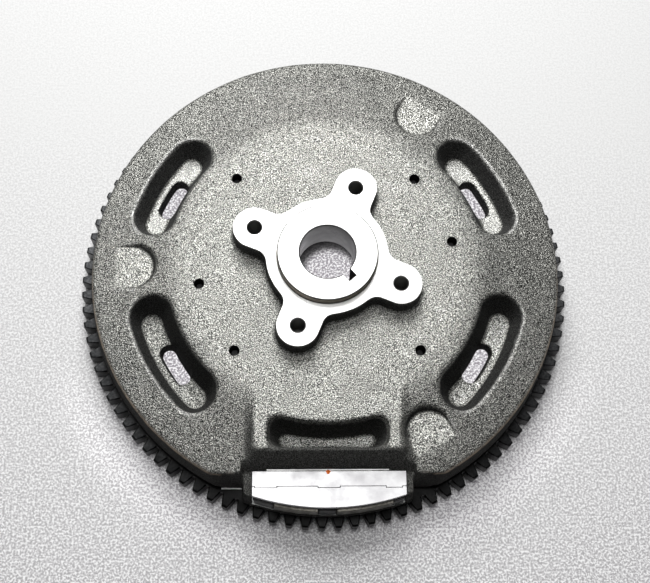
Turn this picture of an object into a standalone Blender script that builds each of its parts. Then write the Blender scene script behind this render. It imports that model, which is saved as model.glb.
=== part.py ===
"""Cast-iron flywheel of a small V-twin petrol engine, with its steel starter ring gear.

Frame: the bore axis is Z, the origin lies on it in the plane of the machined underside.
+Z points to the fan side, -Y to the ignition magnet block.  Blender works in metres; the
sizes below are in millimetres and degrees, and lengths are multiplied by MM when built.
_R is a radius about Z, _X, _Y and _Z are coordinates.
"""
import math

import bmesh
import bpy
from mathutils import Matrix

for old in list(bpy.data.objects):
    bpy.data.objects.remove(old, do_unlink=True)

MM = 0.001
GAP = 0.3                       # clearance between neighbouring pieces
OVERCUT = 3.0                   # how far a cutter stands clear of the face it opens
SHORT_OVERCUT = 2.0

# ---- starter ring gear: 10 diametral pitch, stub form ---------------------------------
TEETH = 96
MODULE = 25.4 / 10.0
TIP_R = MODULE * (TEETH + 2) / 2.0
ROOT_R = 118.7
TOOTH_TIP_WIDTH = 3.1
TOOTH_ROOT_WIDTH = 6.2
TOOTH_PHASE = 2.6                             # angle of the first tooth
GEAR_Z0, GEAR_Z1 = 1.0, 11.0
SEAT_R = 112.0                                # turned seat the ring is shrunk on
SEAT_SIDES = 96

# ---- casting --------------------------------------------------------------------------
WEB_Z = 44.0                                  # flat middle of the web
WEB_UNDER_Z = 35.0
WEB_FLAT_R = 72.0
HUB_TOP_Z = WEB_Z + 15.6
ARM_TOP_Z = WEB_Z + 10.6
RIM_EDGE_Z = 33.4                             # upper outer edge of the rim
RIM_TOP_R = 115.9
RIM_FOOT_Z = 17.0                             # lower end of the as-cast rim wall
RIM_FOOT_R = 117.8
RIM_UNDERCUT_R = 116.5                        # short neck above the ring gear
CAVITY_R = 76.0                               # alternator cavity in the underside
RELIEF_R0, RELIEF_R1, RELIEF_Z = 81.5, 99.5, 18.0
EDGE_CHAMFER = 0.8                            # on the edges of the underside

# ---- hub ------------------------------------------------------------------------------
BORE_TOP_R, BORE_END_R = 13.4, 14.2           # crankshaft taper, wider towards the engine
BOSS_R = 24.35
BOSS_CHAMFER = 0.6
KEY_WIDTH, KEY_DEPTH, KEY_ANGLE = 4.76, 4.65, -48.5
KEY_INNER_R = 8.0                             # the keyway cutter starts inside the bore

# ---- fan cross: a disc with four round-ended arms -------------------------------------
DISC_R = 29.5
CROSS_HOLE_R = 19.0                           # stays inside the boss
ARMS = 4
ARM_CIRCLE_R = 37.94
ARM_LOBE_R = 10.2
ARM_FILLET_R = 4.5
ARM_ANGLE0 = 67.9
FAN_HOLE_R = 3.5
FAN_HOLE_DEPTH = 17.0

# ---- web holes and retainer screws ----------------------------------------------------
SCREW_CIRCLE_R = 63.0
SCREW_ANGLES = (10.0, 45.0, 135.0, 190.0, 225.0, 315.0)
WEB_HOLE_R = 2.5

# ---- cast pockets, with slots through their floors ------------------------------------
POCKET_MID_R = 90.0
POCKET_FLOOR_HALF, POCKET_FLOOR_Z = 5.3, 25.0       # half width, and its height
POCKET_MOUTH_HALF, POCKET_MOUTH_Z = 11.1, WEB_Z - 4.0
# middle angle, half angle between the end centres
POCKETS = ((29.2, 11.6), (151.3, 11.5), (210.9, 13.8), (329.6, 13.6))
SLOT_MID_R = 87.7
SLOT_TOP_HALF, SLOT_BOTTOM_HALF = 4.5, 3.5    # half widths: the slot narrows downwards
SLOT_Z0, SLOT_Z1 = 14.0, 27.0
SLOT_HALF_ANGLE = 4.3
SLOT_ANGLES = (28.0, 152.3, 212.2, 328.2)

# ---- pocket between the web and the magnet block, sizes at its mouth ------------------
FRONT_HALF = 28.7                             # half width along X
FRONT_INNER_R = 79.2
FRONT_OUTER_Y = -91.2
FRONT_CORNER = 7.6                            # length a soft corner takes from each side
FRONT_DRAFT = 4.1                             # inset of the floor

# ---- datum pads: level seats let into the shoulder, open on the outside ---------------
PAD_ANGLES = (60.0, 180.0, 300.0)
PAD_MID_R, PAD_END_R = 96.0, 112.0
PAD_FLOOR_HALF, PAD_FLOOR_Z = 10.8, 36.5
PAD_MOUTH_HALF, PAD_MOUTH_Z = 14.1, WEB_Z

# ---- ignition magnet block ------------------------------------------------------------
BLOCK_X0, BLOCK_X1 = -35.8, 37.1              # set a little towards +X
BLOCK_INNER_Y = -100.1
BLOCK_SEAM_Y = -107.2
BLOCK_TOP_Z = 31.0
BLOCK_CAP_Z = 26.8                            # underside of the outer cap
BLOCK_FLOOR_Z = 16.0
CAP_R = 117.2
POLE_R = 118.8
SPACER_R = 118.3
SPACER_END_INSET = 0.4
POLE_BACK_Y = -111.0
POLE_LEFT = (-25.5, -4.6)                     # x0, x1
POLE_RIGHT = (4.3, 31.3)
BAR_MAGNET_HALF = 30.0
BAR_MAGNET_INNER_Y = BLOCK_SEAM_Y - 1.1
TABS = ((-34.5, -24.3), (-4.6, 5.6), (27.6, 35.0))  # x0, x1 of the inner bar's tabs
TAB_DEPTH = 0.7

# ---- casting around the block ---------------------------------------------------------
LIP_R = 119.4
HOUSING_INNER_Y = -88.0
CHEEK_X0, CHEEK_X1 = -41.0, 41.5
# side inset, radius inset, height
HOUSING_LEVELS = (
    (0.0, 0.0, 12.2),
    (0.0, 0.0, BLOCK_FLOOR_Z - 1.0),
    (0.6, 0.6, BLOCK_FLOOR_Z),
    (0.6, 0.6, 24.5),
    (1.0, 2.0, BLOCK_TOP_Z - 0.9),
)
BASE_Z = BLOCK_TOP_Z + 0.1                    # here the step and the platform start to slope
BEND_Z = 36.0
PLATFORM_TOP_Z = WEB_Z - 0.08
PLATFORM_BASE_HALF, PLATFORM_TOP_HALF = CHEEK_X1 - 1.5, 35.5
PLATFORM_BASE_Y, PLATFORM_TOP_Y = -99.4, -92.6
# height, share of the way from base to top outline, y of the side towards the axis
PLATFORM_LEVELS = (
    (24.0, 0.0, -78.5),
    (BASE_Z, 0.0, -78.4),
    (BEND_Z, 0.38, -78.0),
    (PLATFORM_TOP_Z, 1.0, -62.0),
)
# height, y of the side towards the axis
STEP_LEVELS = (
    (BLOCK_TOP_Z - 1.0, -98.9),
    (BASE_Z, -98.9),
    (BEND_Z, -96.3),
    (PLATFORM_TOP_Z, -92.1),
    (WEB_Z + OVERCUT, -90.6),
)
STEP_OUTER_Y = -125.0
STEP_SIDE_CLEARANCE = 0.1
CHORD_Y_TOP, CHORD_Y_FOOT = -101.9, -105.0
CHORD_OUTER_Y = -128.0
CHORD_Z0, CHORD_Z1 = 12.6, 42.0
CHORD_HALF = 70.0

# ---- alternator -----------------------------------------------------------------------
RETAINER_R0, RETAINER_R1 = 57.0, 72.4
RETAINER_Z0, RETAINER_Z1 = 31.4, WEB_UNDER_Z - GAP
MAGNETS = 12
MAGNET_R0, MAGNET_R1 = 68.0, 72.6
MAGNET_Z0, MAGNET_Z1 = 5.0, RETAINER_Z0 - GAP
MAGNET_ARC = 27.0
BACK_IRON_R0, BACK_IRON_R1 = MAGNET_R1 + GAP, CAVITY_R - GAP
BACK_IRON_Z0, BACK_IRON_Z1 = 4.0, 32.5

# radius, height: the screw from its tip down to its head
SCREW_PROFILE = (
    (0.0, 38.6), (1.6, 38.6), (2.15, 38.0), (2.15, RETAINER_Z0 - GAP),
    (4.1, RETAINER_Z0 - GAP), (4.1, 29.2), (3.6, 28.5), (0.0, 28.5),
)
SOCKET_R, SOCKET_Z0, SOCKET_Z1 = 1.8, 26.0, 30.0

# radius, height: half section of the casting, from the bore's top edge down its outer side
CASTING_PROFILE = (
    # hub boss
    (BORE_TOP_R + 0.5, HUB_TOP_Z),
    (BOSS_R - BOSS_CHAMFER, HUB_TOP_Z),
    (BOSS_R, HUB_TOP_Z - BOSS_CHAMFER),
    (BOSS_R, WEB_Z),
    # web, sloping shoulder and rounded rim edge
    (WEB_FLAT_R, WEB_Z),
    (113.6, RIM_EDGE_Z + 1.0),
    (115.2, RIM_EDGE_Z + 0.2),
    (RIM_TOP_R, RIM_EDGE_Z - 1.2),
    # rim wall and the gear seat under it
    (RIM_FOOT_R, RIM_FOOT_Z),
    (RIM_FOOT_R - 0.8, RIM_FOOT_Z - 1.0),
    (RIM_UNDERCUT_R, RIM_FOOT_Z - 1.4),
    (RIM_UNDERCUT_R, GEAR_Z1 + GAP),
    (SEAT_R, GEAR_Z1 + GAP),
    (SEAT_R, EDGE_CHAMFER),
    (SEAT_R - EDGE_CHAMFER, 0.0),
    # relief groove in the underside
    (RELIEF_R1 + 2.0, 0.0),
    (RELIEF_R1 + 1.0, 1.0),
    (RELIEF_R1, RELIEF_Z),
    (RELIEF_R0, RELIEF_Z),
    (RELIEF_R0 - 1.0, 1.0),
    (RELIEF_R0 - 2.0, 0.0),
    # alternator cavity
    (CAVITY_R + EDGE_CHAMFER, 0.0),
    (CAVITY_R, EDGE_CHAMFER),
    (CAVITY_R, 33.0),
    (CAVITY_R - 2.5, WEB_UNDER_Z),
    # tapered bore
    (BORE_END_R + 0.6, WEB_UNDER_Z),
    (BORE_END_R, WEB_UNDER_Z + 0.6),
    (BORE_TOP_R, HUB_TOP_Z - 0.5),
)

parts = bpy.data.collections.new("flywheel")
cutters = bpy.data.collections.new("flywheel_cutters")
bpy.context.scene.collection.children.link(parts)
bpy.context.scene.collection.children.link(cutters)


# ---- materials ------------------------------------------------------------------------
def material(name, colour, roughness, metallic):
    mat = bpy.data.materials.new(name)
    mat.use_nodes = True
    bsdf = mat.node_tree.nodes["Principled BSDF"]
    bsdf.inputs["Base Color"].default_value = (*colour, 1.0)
    bsdf.inputs["Roughness"].default_value = roughness
    bsdf.inputs["Metallic"].default_value = metallic
    mat.diffuse_color = (*colour, 1.0)
    return mat


cast_iron = material("cast_iron", colour=(0.33, 0.33, 0.31), roughness=0.75, metallic=0.55)
gear_steel = material("ring_gear_steel", colour=(0.09, 0.09, 0.095), roughness=0.45, metallic=0.9)
ground_steel = material("machined_block", colour=(0.80, 0.80, 0.80), roughness=0.30, metallic=0.85)
pole_steel = material("pole_steel", colour=(0.42, 0.42, 0.42), roughness=0.45, metallic=0.85)
resin = material("black_resin", colour=(0.02, 0.02, 0.02), roughness=0.55, metallic=0.0)
ferrite = material("ferrite", colour=(0.06, 0.06, 0.065), roughness=0.6, metallic=0.1)
zinc_plate = material("zinc_plate", colour=(0.62, 0.62, 0.60), roughness=0.35, metallic=0.9)
back_iron = material("back_iron", colour=(0.25, 0.25, 0.25), roughness=0.5, metallic=0.8)


# ---- solids: with a material they are parts, without one hidden cutters ---------------
def link(obj, mat=None):
    if mat is None:
        cutters.objects.link(obj)
        obj.hide_render = True
        obj.display_type = "WIRE"
    else:
        parts.objects.link(obj)
        obj.data.materials.clear()
        obj.data.materials.append(mat)
    return obj


def turned(name, profile, steps, mat, closed=True):
    """(radius, height) pairs, running down the outer side, turned about Z."""
    mesh = bpy.data.meshes.new(name)
    verts = [(radius * MM, 0.0, z * MM) for radius, z in profile]
    edges = [(i, i + 1) for i in range(len(verts) - 1)]
    if closed:
        edges.append((len(verts) - 1, 0))
    mesh.from_pydata(verts, edges, [])
    obj = link(bpy.data.objects.new(name, mesh), mat)
    mod = obj.modifiers.new("turn", "SCREW")
    mod.axis = "Z"
    mod.angle = 2.0 * math.pi
    mod.steps = steps
    mod.render_steps = steps
    mod.use_merge_vertices = True
    mod.merge_threshold = 0.00001
    mod.use_smooth_shade = True
    return obj


def outline(name, loops, z0, z1, mat=None, matrix=Matrix.Identity(4)):
    """One or more closed outlines (an inner one is a hole) as a plate from z0 to z1."""
    curve = bpy.data.curves.new(name, "CURVE")
    curve.dimensions = "2D"
    curve.fill_mode = "BOTH"
    curve.extrude = (z1 - z0) / 2.0 * MM
    for loop in loops:
        spline = curve.splines.new("POLY")
        spline.points.add(len(loop) - 1)
        for point, (x, y) in zip(spline.points, loop):
            point.co = (x * MM, y * MM, 0.0, 1.0)
        spline.use_cyclic_u = True
    raw = bpy.data.objects.new(name + "_outline", curve)
    cutters.objects.link(raw)
    raw.matrix_world = matrix @ Matrix.Translation((0.0, 0.0, (z0 + z1) / 2.0 * MM))
    bpy.context.view_layer.update()
    evaluated = raw.evaluated_get(bpy.context.evaluated_depsgraph_get())
    mesh = bpy.data.meshes.new_from_object(evaluated)
    # the caps and sides of a filled curve come apart: weld them
    bm = bmesh.new()
    bm.from_mesh(mesh)
    bmesh.ops.remove_doubles(bm, verts=bm.verts, dist=0.000002)
    bmesh.ops.recalc_face_normals(bm, faces=bm.faces)
    bm.to_mesh(mesh)
    bm.free()
    mesh.name = name
    obj = bpy.data.objects.new(name, mesh)
    obj.matrix_world = raw.matrix_world
    bpy.data.objects.remove(raw, do_unlink=True)
    return link(obj, mat)


def loft(name, sections):
    """A cutter between outlines of equal point count, each ([(x, y), ...], z), bottom first."""
    count = len(sections[0][0])
    verts = [(x * MM, y * MM, z * MM) for points, z in sections for x, y in points]
    faces = [tuple(reversed(range(count)))]
    for low in range(0, len(verts) - count, count):
        high = low + count
        for i in range(count):
            j = (i + 1) % count
            faces.append((low + i, low + j, high + j, high + i))
    faces.append(tuple(range(len(verts) - count, len(verts))))
    mesh = bpy.data.meshes.new(name)
    mesh.from_pydata(verts, [], faces)
    return link(bpy.data.objects.new(name, mesh))


def cylinder(name, radius, z0, z1, place, segments):
    """A round cutter parallel to Z, centred on place (x, y)."""
    bm = bmesh.new()
    bmesh.ops.create_cone(bm, cap_ends=True, segments=segments, radius1=radius * MM,
                          radius2=radius * MM, depth=(z1 - z0) * MM)
    mesh = bpy.data.meshes.new(name)
    bm.to_mesh(mesh)
    bm.free()
    obj = bpy.data.objects.new(name, mesh)
    obj.location = (place[0] * MM, place[1] * MM, (z0 + z1) / 2.0 * MM)
    return link(obj)


def boolean(obj, other, operation="DIFFERENCE"):
    mod = obj.modifiers.new(operation.lower() + "_" + other.name, "BOOLEAN")
    mod.operation = operation
    mod.object = other


def drill(obj, name, places, radius, z0, z1, segments):
    for n, place in enumerate(places):
        boolean(obj, cylinder("%s_%d" % (name, n), radius, z0, z1, place, segments))


# ---- plane shapes ---------------------------------------------------------------------
def polar(radius, degrees):
    angle = math.radians(degrees)
    return radius * math.cos(angle), radius * math.sin(angle)


def arc(radius, start, end, count, centre=(0.0, 0.0)):
    """Points on an arc between two angles, both ends included."""
    out = []
    for i in range(count + 1):
        x, y = polar(radius, start + (end - start) * i / count)
        out.append((centre[0] + x, centre[1] + y))
    return out


def circle_hole(radius, sides):
    """A full circle, clockwise."""
    return arc(radius, 360.0, 360.0 / sides, sides - 1)


def rectangle(x0, x1, y0, y1):
    return [(x0, y0), (x1, y0), (x1, y1), (x0, y1)]


def kidney(mid_r, half_width, angle, half_angle, side=8, end=8):
    """An arc slot about Z: two arcs joined by full round ends."""
    first, last = angle - half_angle, angle + half_angle
    pts = arc(mid_r + half_width, first, last, side)
    pts += arc(half_width, last, last + 180.0, end, polar(mid_r, last))[1:-1]
    pts += arc(mid_r - half_width, last, first, side)
    pts += arc(half_width, first - 180.0, first, end, polar(mid_r, first))[1:-1]
    return pts


def corner(before, tip, after, count=5):
    """A soft corner: a parabola from one side to the next, tangent to both."""
    out = []
    for i in range(count + 1):
        t = i / count
        out.append(tuple((1 - t) ** 2 * b + 2 * t * (1 - t) * c + t * t * a
                         for b, c, a in zip(before, tip, after)))
    return out


def front_pocket(inset):
    """Arc on the side of the axis, straight towards the block, soft corners."""
    half = FRONT_HALF - inset
    radius = FRONT_INNER_R + inset
    outer_y = FRONT_OUTER_Y + 0.7 * inset
    soft = FRONT_CORNER - 0.45 * inset
    span = math.degrees(math.asin(half / radius)) - math.degrees(soft / radius)
    inner = arc(radius, 270.0 + span, 270.0 - span, 12)
    tip_y = -math.sqrt(radius * radius - half * half)
    pts = inner[1:-1]
    pts += corner(inner[-1], (-half, tip_y), (-half, tip_y - soft))
    pts += corner((-half, outer_y + soft), (-half, outer_y), (-half + soft, outer_y))
    pts += corner((half - soft, outer_y), (half, outer_y), (half, outer_y + soft))
    pts += corner((half, tip_y - soft), (half, tip_y), inner[0])
    return pts


def pad_outline(half, angle):
    """Round towards the axis, straight sides running outwards."""
    pts = arc(half, angle + 90.0, angle + 270.0, 16, polar(PAD_MID_R, angle))
    run_x, run_y = polar(PAD_END_R - PAD_MID_R, angle)
    pts += [(x + run_x, y + run_y) for x, y in (pts[-1], pts[0])]
    return pts


def fan_cross():
    """Disc with round-ended arms and small fillets between them."""
    # one arm along +X; the fillet circle touches both the disc and the arm's side
    fillet_y = ARM_LOBE_R + ARM_FILLET_R
    fillet_x = math.sqrt((DISC_R + ARM_FILLET_R) ** 2 - fillet_y ** 2)
    touch = math.degrees(math.atan2(fillet_y, fillet_x))
    fillet = []
    for degrees in (180.0 - touch, 155.0, 130.0, 110.0, 90.0):
        x, y = polar(ARM_FILLET_R, degrees)
        fillet.append((fillet_x + x, -fillet_y + y))
    arm = fillet + arc(ARM_LOBE_R, -90.0, 90.0, 12, (ARM_CIRCLE_R, 0.0))
    arm += [(x, -y) for x, y in reversed(fillet)]

    pts = []
    pitch = 360.0 / ARMS
    for k in range(ARMS):
        angle = ARM_ANGLE0 + pitch * k
        cos, sin = polar(1.0, angle)
        pts += [(x * cos - y * sin, x * sin + y * cos) for x, y in arm]
        pts += arc(DISC_R, angle + touch, angle + pitch - touch, 6)[1:-1]
    return pts


def gear_teeth():
    """Root land, flank, tip land, flank, around the ring."""
    pts = []
    half_tip = math.degrees(TOOTH_TIP_WIDTH / 2.0 / TIP_R)
    half_root = math.degrees(TOOTH_ROOT_WIDTH / 2.0 / ROOT_R)
    for k in range(TEETH):
        angle = TOOTH_PHASE + 360.0 * k / TEETH
        pts.append(polar(ROOT_R, angle - half_root))
        pts.append(polar(TIP_R, angle - half_tip))
        pts.append(polar(TIP_R, angle + half_tip))
        pts.append(polar(ROOT_R, angle + half_root))
    return pts


def sector_outline(x0, x1, inner_y, radius, count, notches=()):
    """Arc on the -Y side between x0 and x1, straight edge at inner_y, with any notches in it."""
    start, end = (math.degrees(math.atan2(-math.sqrt(radius ** 2 - x ** 2), x)) for x in (x0, x1))
    pts = arc(radius, start, end, count)
    pts.append((x1, inner_y))
    for n0, n1 in reversed(notches):
        pts += [(n1, inner_y), (n1, inner_y - TAB_DEPTH),
                (n0, inner_y - TAB_DEPTH), (n0, inner_y)]
    pts.append((x0, inner_y))
    return pts


def screw_places():
    return [polar(SCREW_CIRCLE_R, angle) for angle in SCREW_ANGLES]


# ---- casting --------------------------------------------------------------------------
def shape_block_side(casting):
    """Flats, step, housing and platform on the -Y side."""
    # straight flats across the rim, which stay visible on both sides of the housing
    section = [                               # y, height
        (CHORD_Y_TOP + 0.9, CHORD_Z1), (CHORD_Y_TOP, RIM_EDGE_Z),
        (CHORD_Y_FOOT, RIM_FOOT_Z), (CHORD_Y_FOOT - 0.5, CHORD_Z0),
        (CHORD_OUTER_Y, CHORD_Z0), (CHORD_OUTER_Y, CHORD_Z1),
    ]
    along_x = Matrix(((0, 0, 1, 0), (1, 0, 0, 0), (0, 1, 0, 0), (0, 0, 0, 1)))
    boolean(casting, outline("cut_chord", [section], -CHORD_HALF, CHORD_HALF, matrix=along_x))

    # the shoulder steps down to the magnet block
    x0, x1 = CHEEK_X0 - STEP_SIDE_CLEARANCE, CHEEK_X1 + STEP_SIDE_CLEARANCE
    boolean(casting, loft("cut_step", [(rectangle(x0, x1, STEP_OUTER_Y, inner_y), z)
                                       for z, inner_y in STEP_LEVELS]))

    # housing of the magnet block
    housing = [(sector_outline(CHEEK_X0 + side, CHEEK_X1 - side, HOUSING_INNER_Y,
                               LIP_R - drop, 14), z)
               for side, drop, z in HOUSING_LEVELS]
    boolean(casting, loft("add_housing", housing), "UNION")

    # raised platform from the housing up to the web
    platform = []
    for z, t, inner_y in PLATFORM_LEVELS:
        half = PLATFORM_BASE_HALF * (1 - t) + PLATFORM_TOP_HALF * t
        outer_y = PLATFORM_BASE_Y * (1 - t) + PLATFORM_TOP_Y * t
        platform.append((rectangle(-half, half, outer_y, inner_y), z))
    boolean(casting, loft("add_platform", platform), "UNION")


def cut_pockets(casting):
    """Drafted pockets, the slots through their floors, and the pocket by the block."""
    draft = (POCKET_MOUTH_HALF - POCKET_FLOOR_HALF) / (POCKET_MOUTH_Z - POCKET_FLOOR_Z)
    top_z = WEB_Z + SHORT_OVERCUT
    top_half = POCKET_FLOOR_HALF + draft * (top_z - POCKET_FLOOR_Z)
    for n, (angle, half_angle) in enumerate(POCKETS):
        boolean(casting, loft("cut_pocket_%d" % n, [
            (kidney(POCKET_MID_R, POCKET_FLOOR_HALF, angle, half_angle), POCKET_FLOOR_Z),
            (kidney(POCKET_MID_R, top_half, angle, half_angle), top_z)]))
    for n, angle in enumerate(SLOT_ANGLES):
        boolean(casting, loft("cut_slot_%d" % n, [
            (kidney(SLOT_MID_R, half, angle, SLOT_HALF_ANGLE, side=5, end=6), z)
            for half, z in ((SLOT_BOTTOM_HALF, SLOT_Z0), (SLOT_TOP_HALF, SLOT_Z1))]))
    boolean(casting, loft("cut_front_pocket", [
        (front_pocket(FRONT_DRAFT), POCKET_FLOOR_Z),
        (front_pocket(0.0), WEB_Z - 0.5),
        (front_pocket(-1.0), WEB_Z + OVERCUT)]))


def cut_pads(casting):
    """Flat floor, sloped wall."""
    for n, angle in enumerate(PAD_ANGLES):
        boolean(casting, loft("cut_pad_%d" % n, [
            (pad_outline(PAD_FLOOR_HALF, angle), PAD_FLOOR_Z),
            (pad_outline(PAD_MOUTH_HALF, angle), PAD_MOUTH_Z)]))


def cut_block_seat(casting):
    """Seat of the magnet block, open to the outside."""
    x0, x1 = BLOCK_X0 - GAP, BLOCK_X1 + GAP
    inner_y, outer_y = BLOCK_INNER_Y + GAP, -124.0
    seat = [(x0, inner_y), (x0, outer_y), (x1, outer_y), (x1, inner_y)]
    boolean(casting, outline("cut_block", [seat], BLOCK_FLOOR_Z, BLOCK_TOP_Z + OVERCUT))


def cut_keyway(casting):
    key = rectangle(KEY_INNER_R, BORE_TOP_R + KEY_DEPTH, -KEY_WIDTH / 2, KEY_WIDTH / 2)
    turn = Matrix.Rotation(math.radians(KEY_ANGLE), 4, "Z")
    boolean(casting, outline("cut_keyway", [key], WEB_UNDER_Z - 5.0, HUB_TOP_Z + OVERCUT,
                             matrix=turn))


def build_casting():
    casting = turned("flywheel_casting", CASTING_PROFILE, 72, cast_iron)
    shape_block_side(casting)
    boolean(casting, outline("add_fan_cross", [fan_cross(), circle_hole(CROSS_HOLE_R, 36)],
                             WEB_Z - 5.0, ARM_TOP_Z), "UNION")
    cut_pockets(casting)
    cut_pads(casting)
    cut_block_seat(casting)
    arm_places = [polar(ARM_CIRCLE_R, ARM_ANGLE0 + 360.0 / ARMS * n) for n in range(ARMS)]
    drill(casting, "cut_fan_hole", arm_places, FAN_HOLE_R,
          ARM_TOP_Z - FAN_HOLE_DEPTH, ARM_TOP_Z + SHORT_OVERCUT, segments=24)
    drill(casting, "cut_web_hole", screw_places(), WEB_HOLE_R,
          WEB_UNDER_Z - OVERCUT, WEB_Z + OVERCUT, segments=20)
    cut_keyway(casting)


def build_ring_gear():
    outline("ring_gear", [gear_teeth(), circle_hole(SEAT_R + GAP, SEAT_SIDES)],
            GEAR_Z0, GEAR_Z1, gear_steel)


# ---- ignition magnet block ------------------------------------------------------------
def build_block_bars():
    """Inner bar with tabs that reach into the notches of the outer cap."""
    seam_y = BLOCK_SEAM_Y + GAP / 2
    bar = [(BLOCK_X0, seam_y)]
    for x0, x1 in TABS:
        bar += [(x0, seam_y), (x0, seam_y - TAB_DEPTH), (x1, seam_y - TAB_DEPTH), (x1, seam_y)]
    bar += [(BLOCK_X1, seam_y), (BLOCK_X1, BLOCK_INNER_Y), (BLOCK_X0, BLOCK_INNER_Y)]
    outline("ignition_inner_bar", [bar], BLOCK_FLOOR_Z + GAP, BLOCK_TOP_Z, ground_steel)

    notches = [(x0 - GAP, x1 + GAP) for x0, x1 in TABS]
    cap = sector_outline(BLOCK_X0, BLOCK_X1, BLOCK_SEAM_Y - GAP / 2, CAP_R, 16, notches)
    outline("ignition_outer_cap", [cap], BLOCK_CAP_Z, BLOCK_TOP_Z, ground_steel)


def build_poles():
    """Bar magnet under the cap, and outside it the pole shoes with spacers between."""
    low, high = BLOCK_FLOOR_Z + GAP, BLOCK_CAP_Z - GAP
    half, outer_y = BAR_MAGNET_HALF, POLE_BACK_Y + GAP
    magnet = [(-half, BAR_MAGNET_INNER_Y), (-half, outer_y),
              (half, outer_y), (half, BAR_MAGNET_INNER_Y)]
    outline("ignition_bar_magnet", [magnet], low, high, ferrite)
    for name, (x0, x1) in (("left", POLE_LEFT), ("right", POLE_RIGHT)):
        outline("pole_shoe_" + name, [sector_outline(x0, x1, POLE_BACK_Y, POLE_R, 8)],
                low, high, pole_steel)
    for name, x0, x1 in (("left", BLOCK_X0 + SPACER_END_INSET, POLE_LEFT[0] - GAP),
                         ("centre", POLE_LEFT[1] + GAP, POLE_RIGHT[0] - GAP),
                         ("right", POLE_RIGHT[1] + GAP, BLOCK_X1 - SPACER_END_INSET)):
        outline("pole_spacer_" + name, [sector_outline(x0, x1, POLE_BACK_Y, SPACER_R, 6)],
                low, high, resin)


# ---- alternator rotor inside the rim --------------------------------------------------
def build_alternator():
    turned("alternator_back_iron",
           [(BACK_IRON_R0, BACK_IRON_Z1), (BACK_IRON_R1, BACK_IRON_Z1),
            (BACK_IRON_R1, BACK_IRON_Z0), (BACK_IRON_R0, BACK_IRON_Z0)], 60, back_iron)
    pitch = 360.0 / MAGNETS
    for n in range(MAGNETS):
        middle = pitch * (n + 0.5)
        start, end = middle - MAGNET_ARC / 2, middle + MAGNET_ARC / 2
        shape = arc(MAGNET_R1, start, end, 6) + arc(MAGNET_R0, end, start, 6)
        outline("alternator_magnet_%02d" % (n + 1), [shape], MAGNET_Z0, MAGNET_Z1, ferrite)


def build_retainer():
    chamfer = 0.5
    retainer = turned("magnet_retainer_ring",
                      [(RETAINER_R0 + chamfer, RETAINER_Z1), (RETAINER_R1, RETAINER_Z1),
                       (RETAINER_R1, RETAINER_Z0), (RETAINER_R0, RETAINER_Z0),
                       (RETAINER_R0, RETAINER_Z1 - chamfer)], 48, zinc_plate)
    drill(retainer, "cut_retainer_hole", screw_places(), WEB_HOLE_R + 0.1,
          RETAINER_Z0 - SHORT_OVERCUT, WEB_UNDER_Z + SHORT_OVERCUT, segments=14)


def build_screws():
    """Screws put in from below, with hexagon sockets in their heads."""
    for n, place in enumerate(screw_places()):
        screw = turned("retainer_screw_%d" % (n + 1), SCREW_PROFILE, 16, zinc_plate,
                       closed=False)
        screw.location = (place[0] * MM, place[1] * MM, 0.0)
        boolean(screw, cylinder("cut_socket_%d" % n, SOCKET_R, SOCKET_Z0, SOCKET_Z1,
                                place, segments=6))


build_casting()
build_ring_gear()
build_block_bars()
build_poles()
build_alternator()
build_retainer()
build_screws()
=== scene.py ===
"""A small-engine flywheel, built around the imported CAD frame.

The wheel's axis is Z.  It rests on a floor at z = 0 with the hub and the fan cross up, the
alternator magnets underneath and the ignition magnet block in the rim at -Y.

The casting is modelled the way it is made: a rounded as-cast body (a distance field with
fillets and drafts, turned into a mesh), then machined with crisp cutters.  Geometry is in
millimetres and degrees; shaders, lights and camera are in metres.
"""
import math

import bmesh
import bpy
import numpy as np
from mathutils import Matrix, Vector


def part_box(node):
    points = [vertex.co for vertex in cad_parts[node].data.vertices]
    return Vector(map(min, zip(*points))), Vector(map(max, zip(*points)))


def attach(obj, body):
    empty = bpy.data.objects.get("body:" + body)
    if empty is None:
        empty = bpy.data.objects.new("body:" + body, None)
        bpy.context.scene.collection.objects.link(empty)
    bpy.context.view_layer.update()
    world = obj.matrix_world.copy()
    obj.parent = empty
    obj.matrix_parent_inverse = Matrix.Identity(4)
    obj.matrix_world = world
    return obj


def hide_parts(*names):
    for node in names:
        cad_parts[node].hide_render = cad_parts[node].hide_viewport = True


MILLIMETRE = 0.001
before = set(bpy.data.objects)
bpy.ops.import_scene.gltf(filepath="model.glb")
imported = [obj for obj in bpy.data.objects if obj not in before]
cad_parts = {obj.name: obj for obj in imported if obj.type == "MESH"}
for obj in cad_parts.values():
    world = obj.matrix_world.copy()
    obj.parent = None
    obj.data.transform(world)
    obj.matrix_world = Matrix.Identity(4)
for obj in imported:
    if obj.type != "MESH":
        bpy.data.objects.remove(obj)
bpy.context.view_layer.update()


def box_mm(node):
    """Low and high corners of a frame node."""
    low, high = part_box(node)
    return [c / MILLIMETRE for c in low], [c / MILLIMETRE for c in high]


# ---- places and heights, read from the frame ------------------------------------------------
gear_low, gear_high = box_mm("ring_gear")
bar_low, bar_high = box_mm("ignition_inner_bar")
cap_low, _ = box_mm("ignition_outer_cap")
ret_low, ret_high = box_mm("magnet_retainer_ring")
iron_low, iron_high = box_mm("alternator_back_iron")
mag_low, mag_high = box_mm("ignition_bar_magnet")

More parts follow.
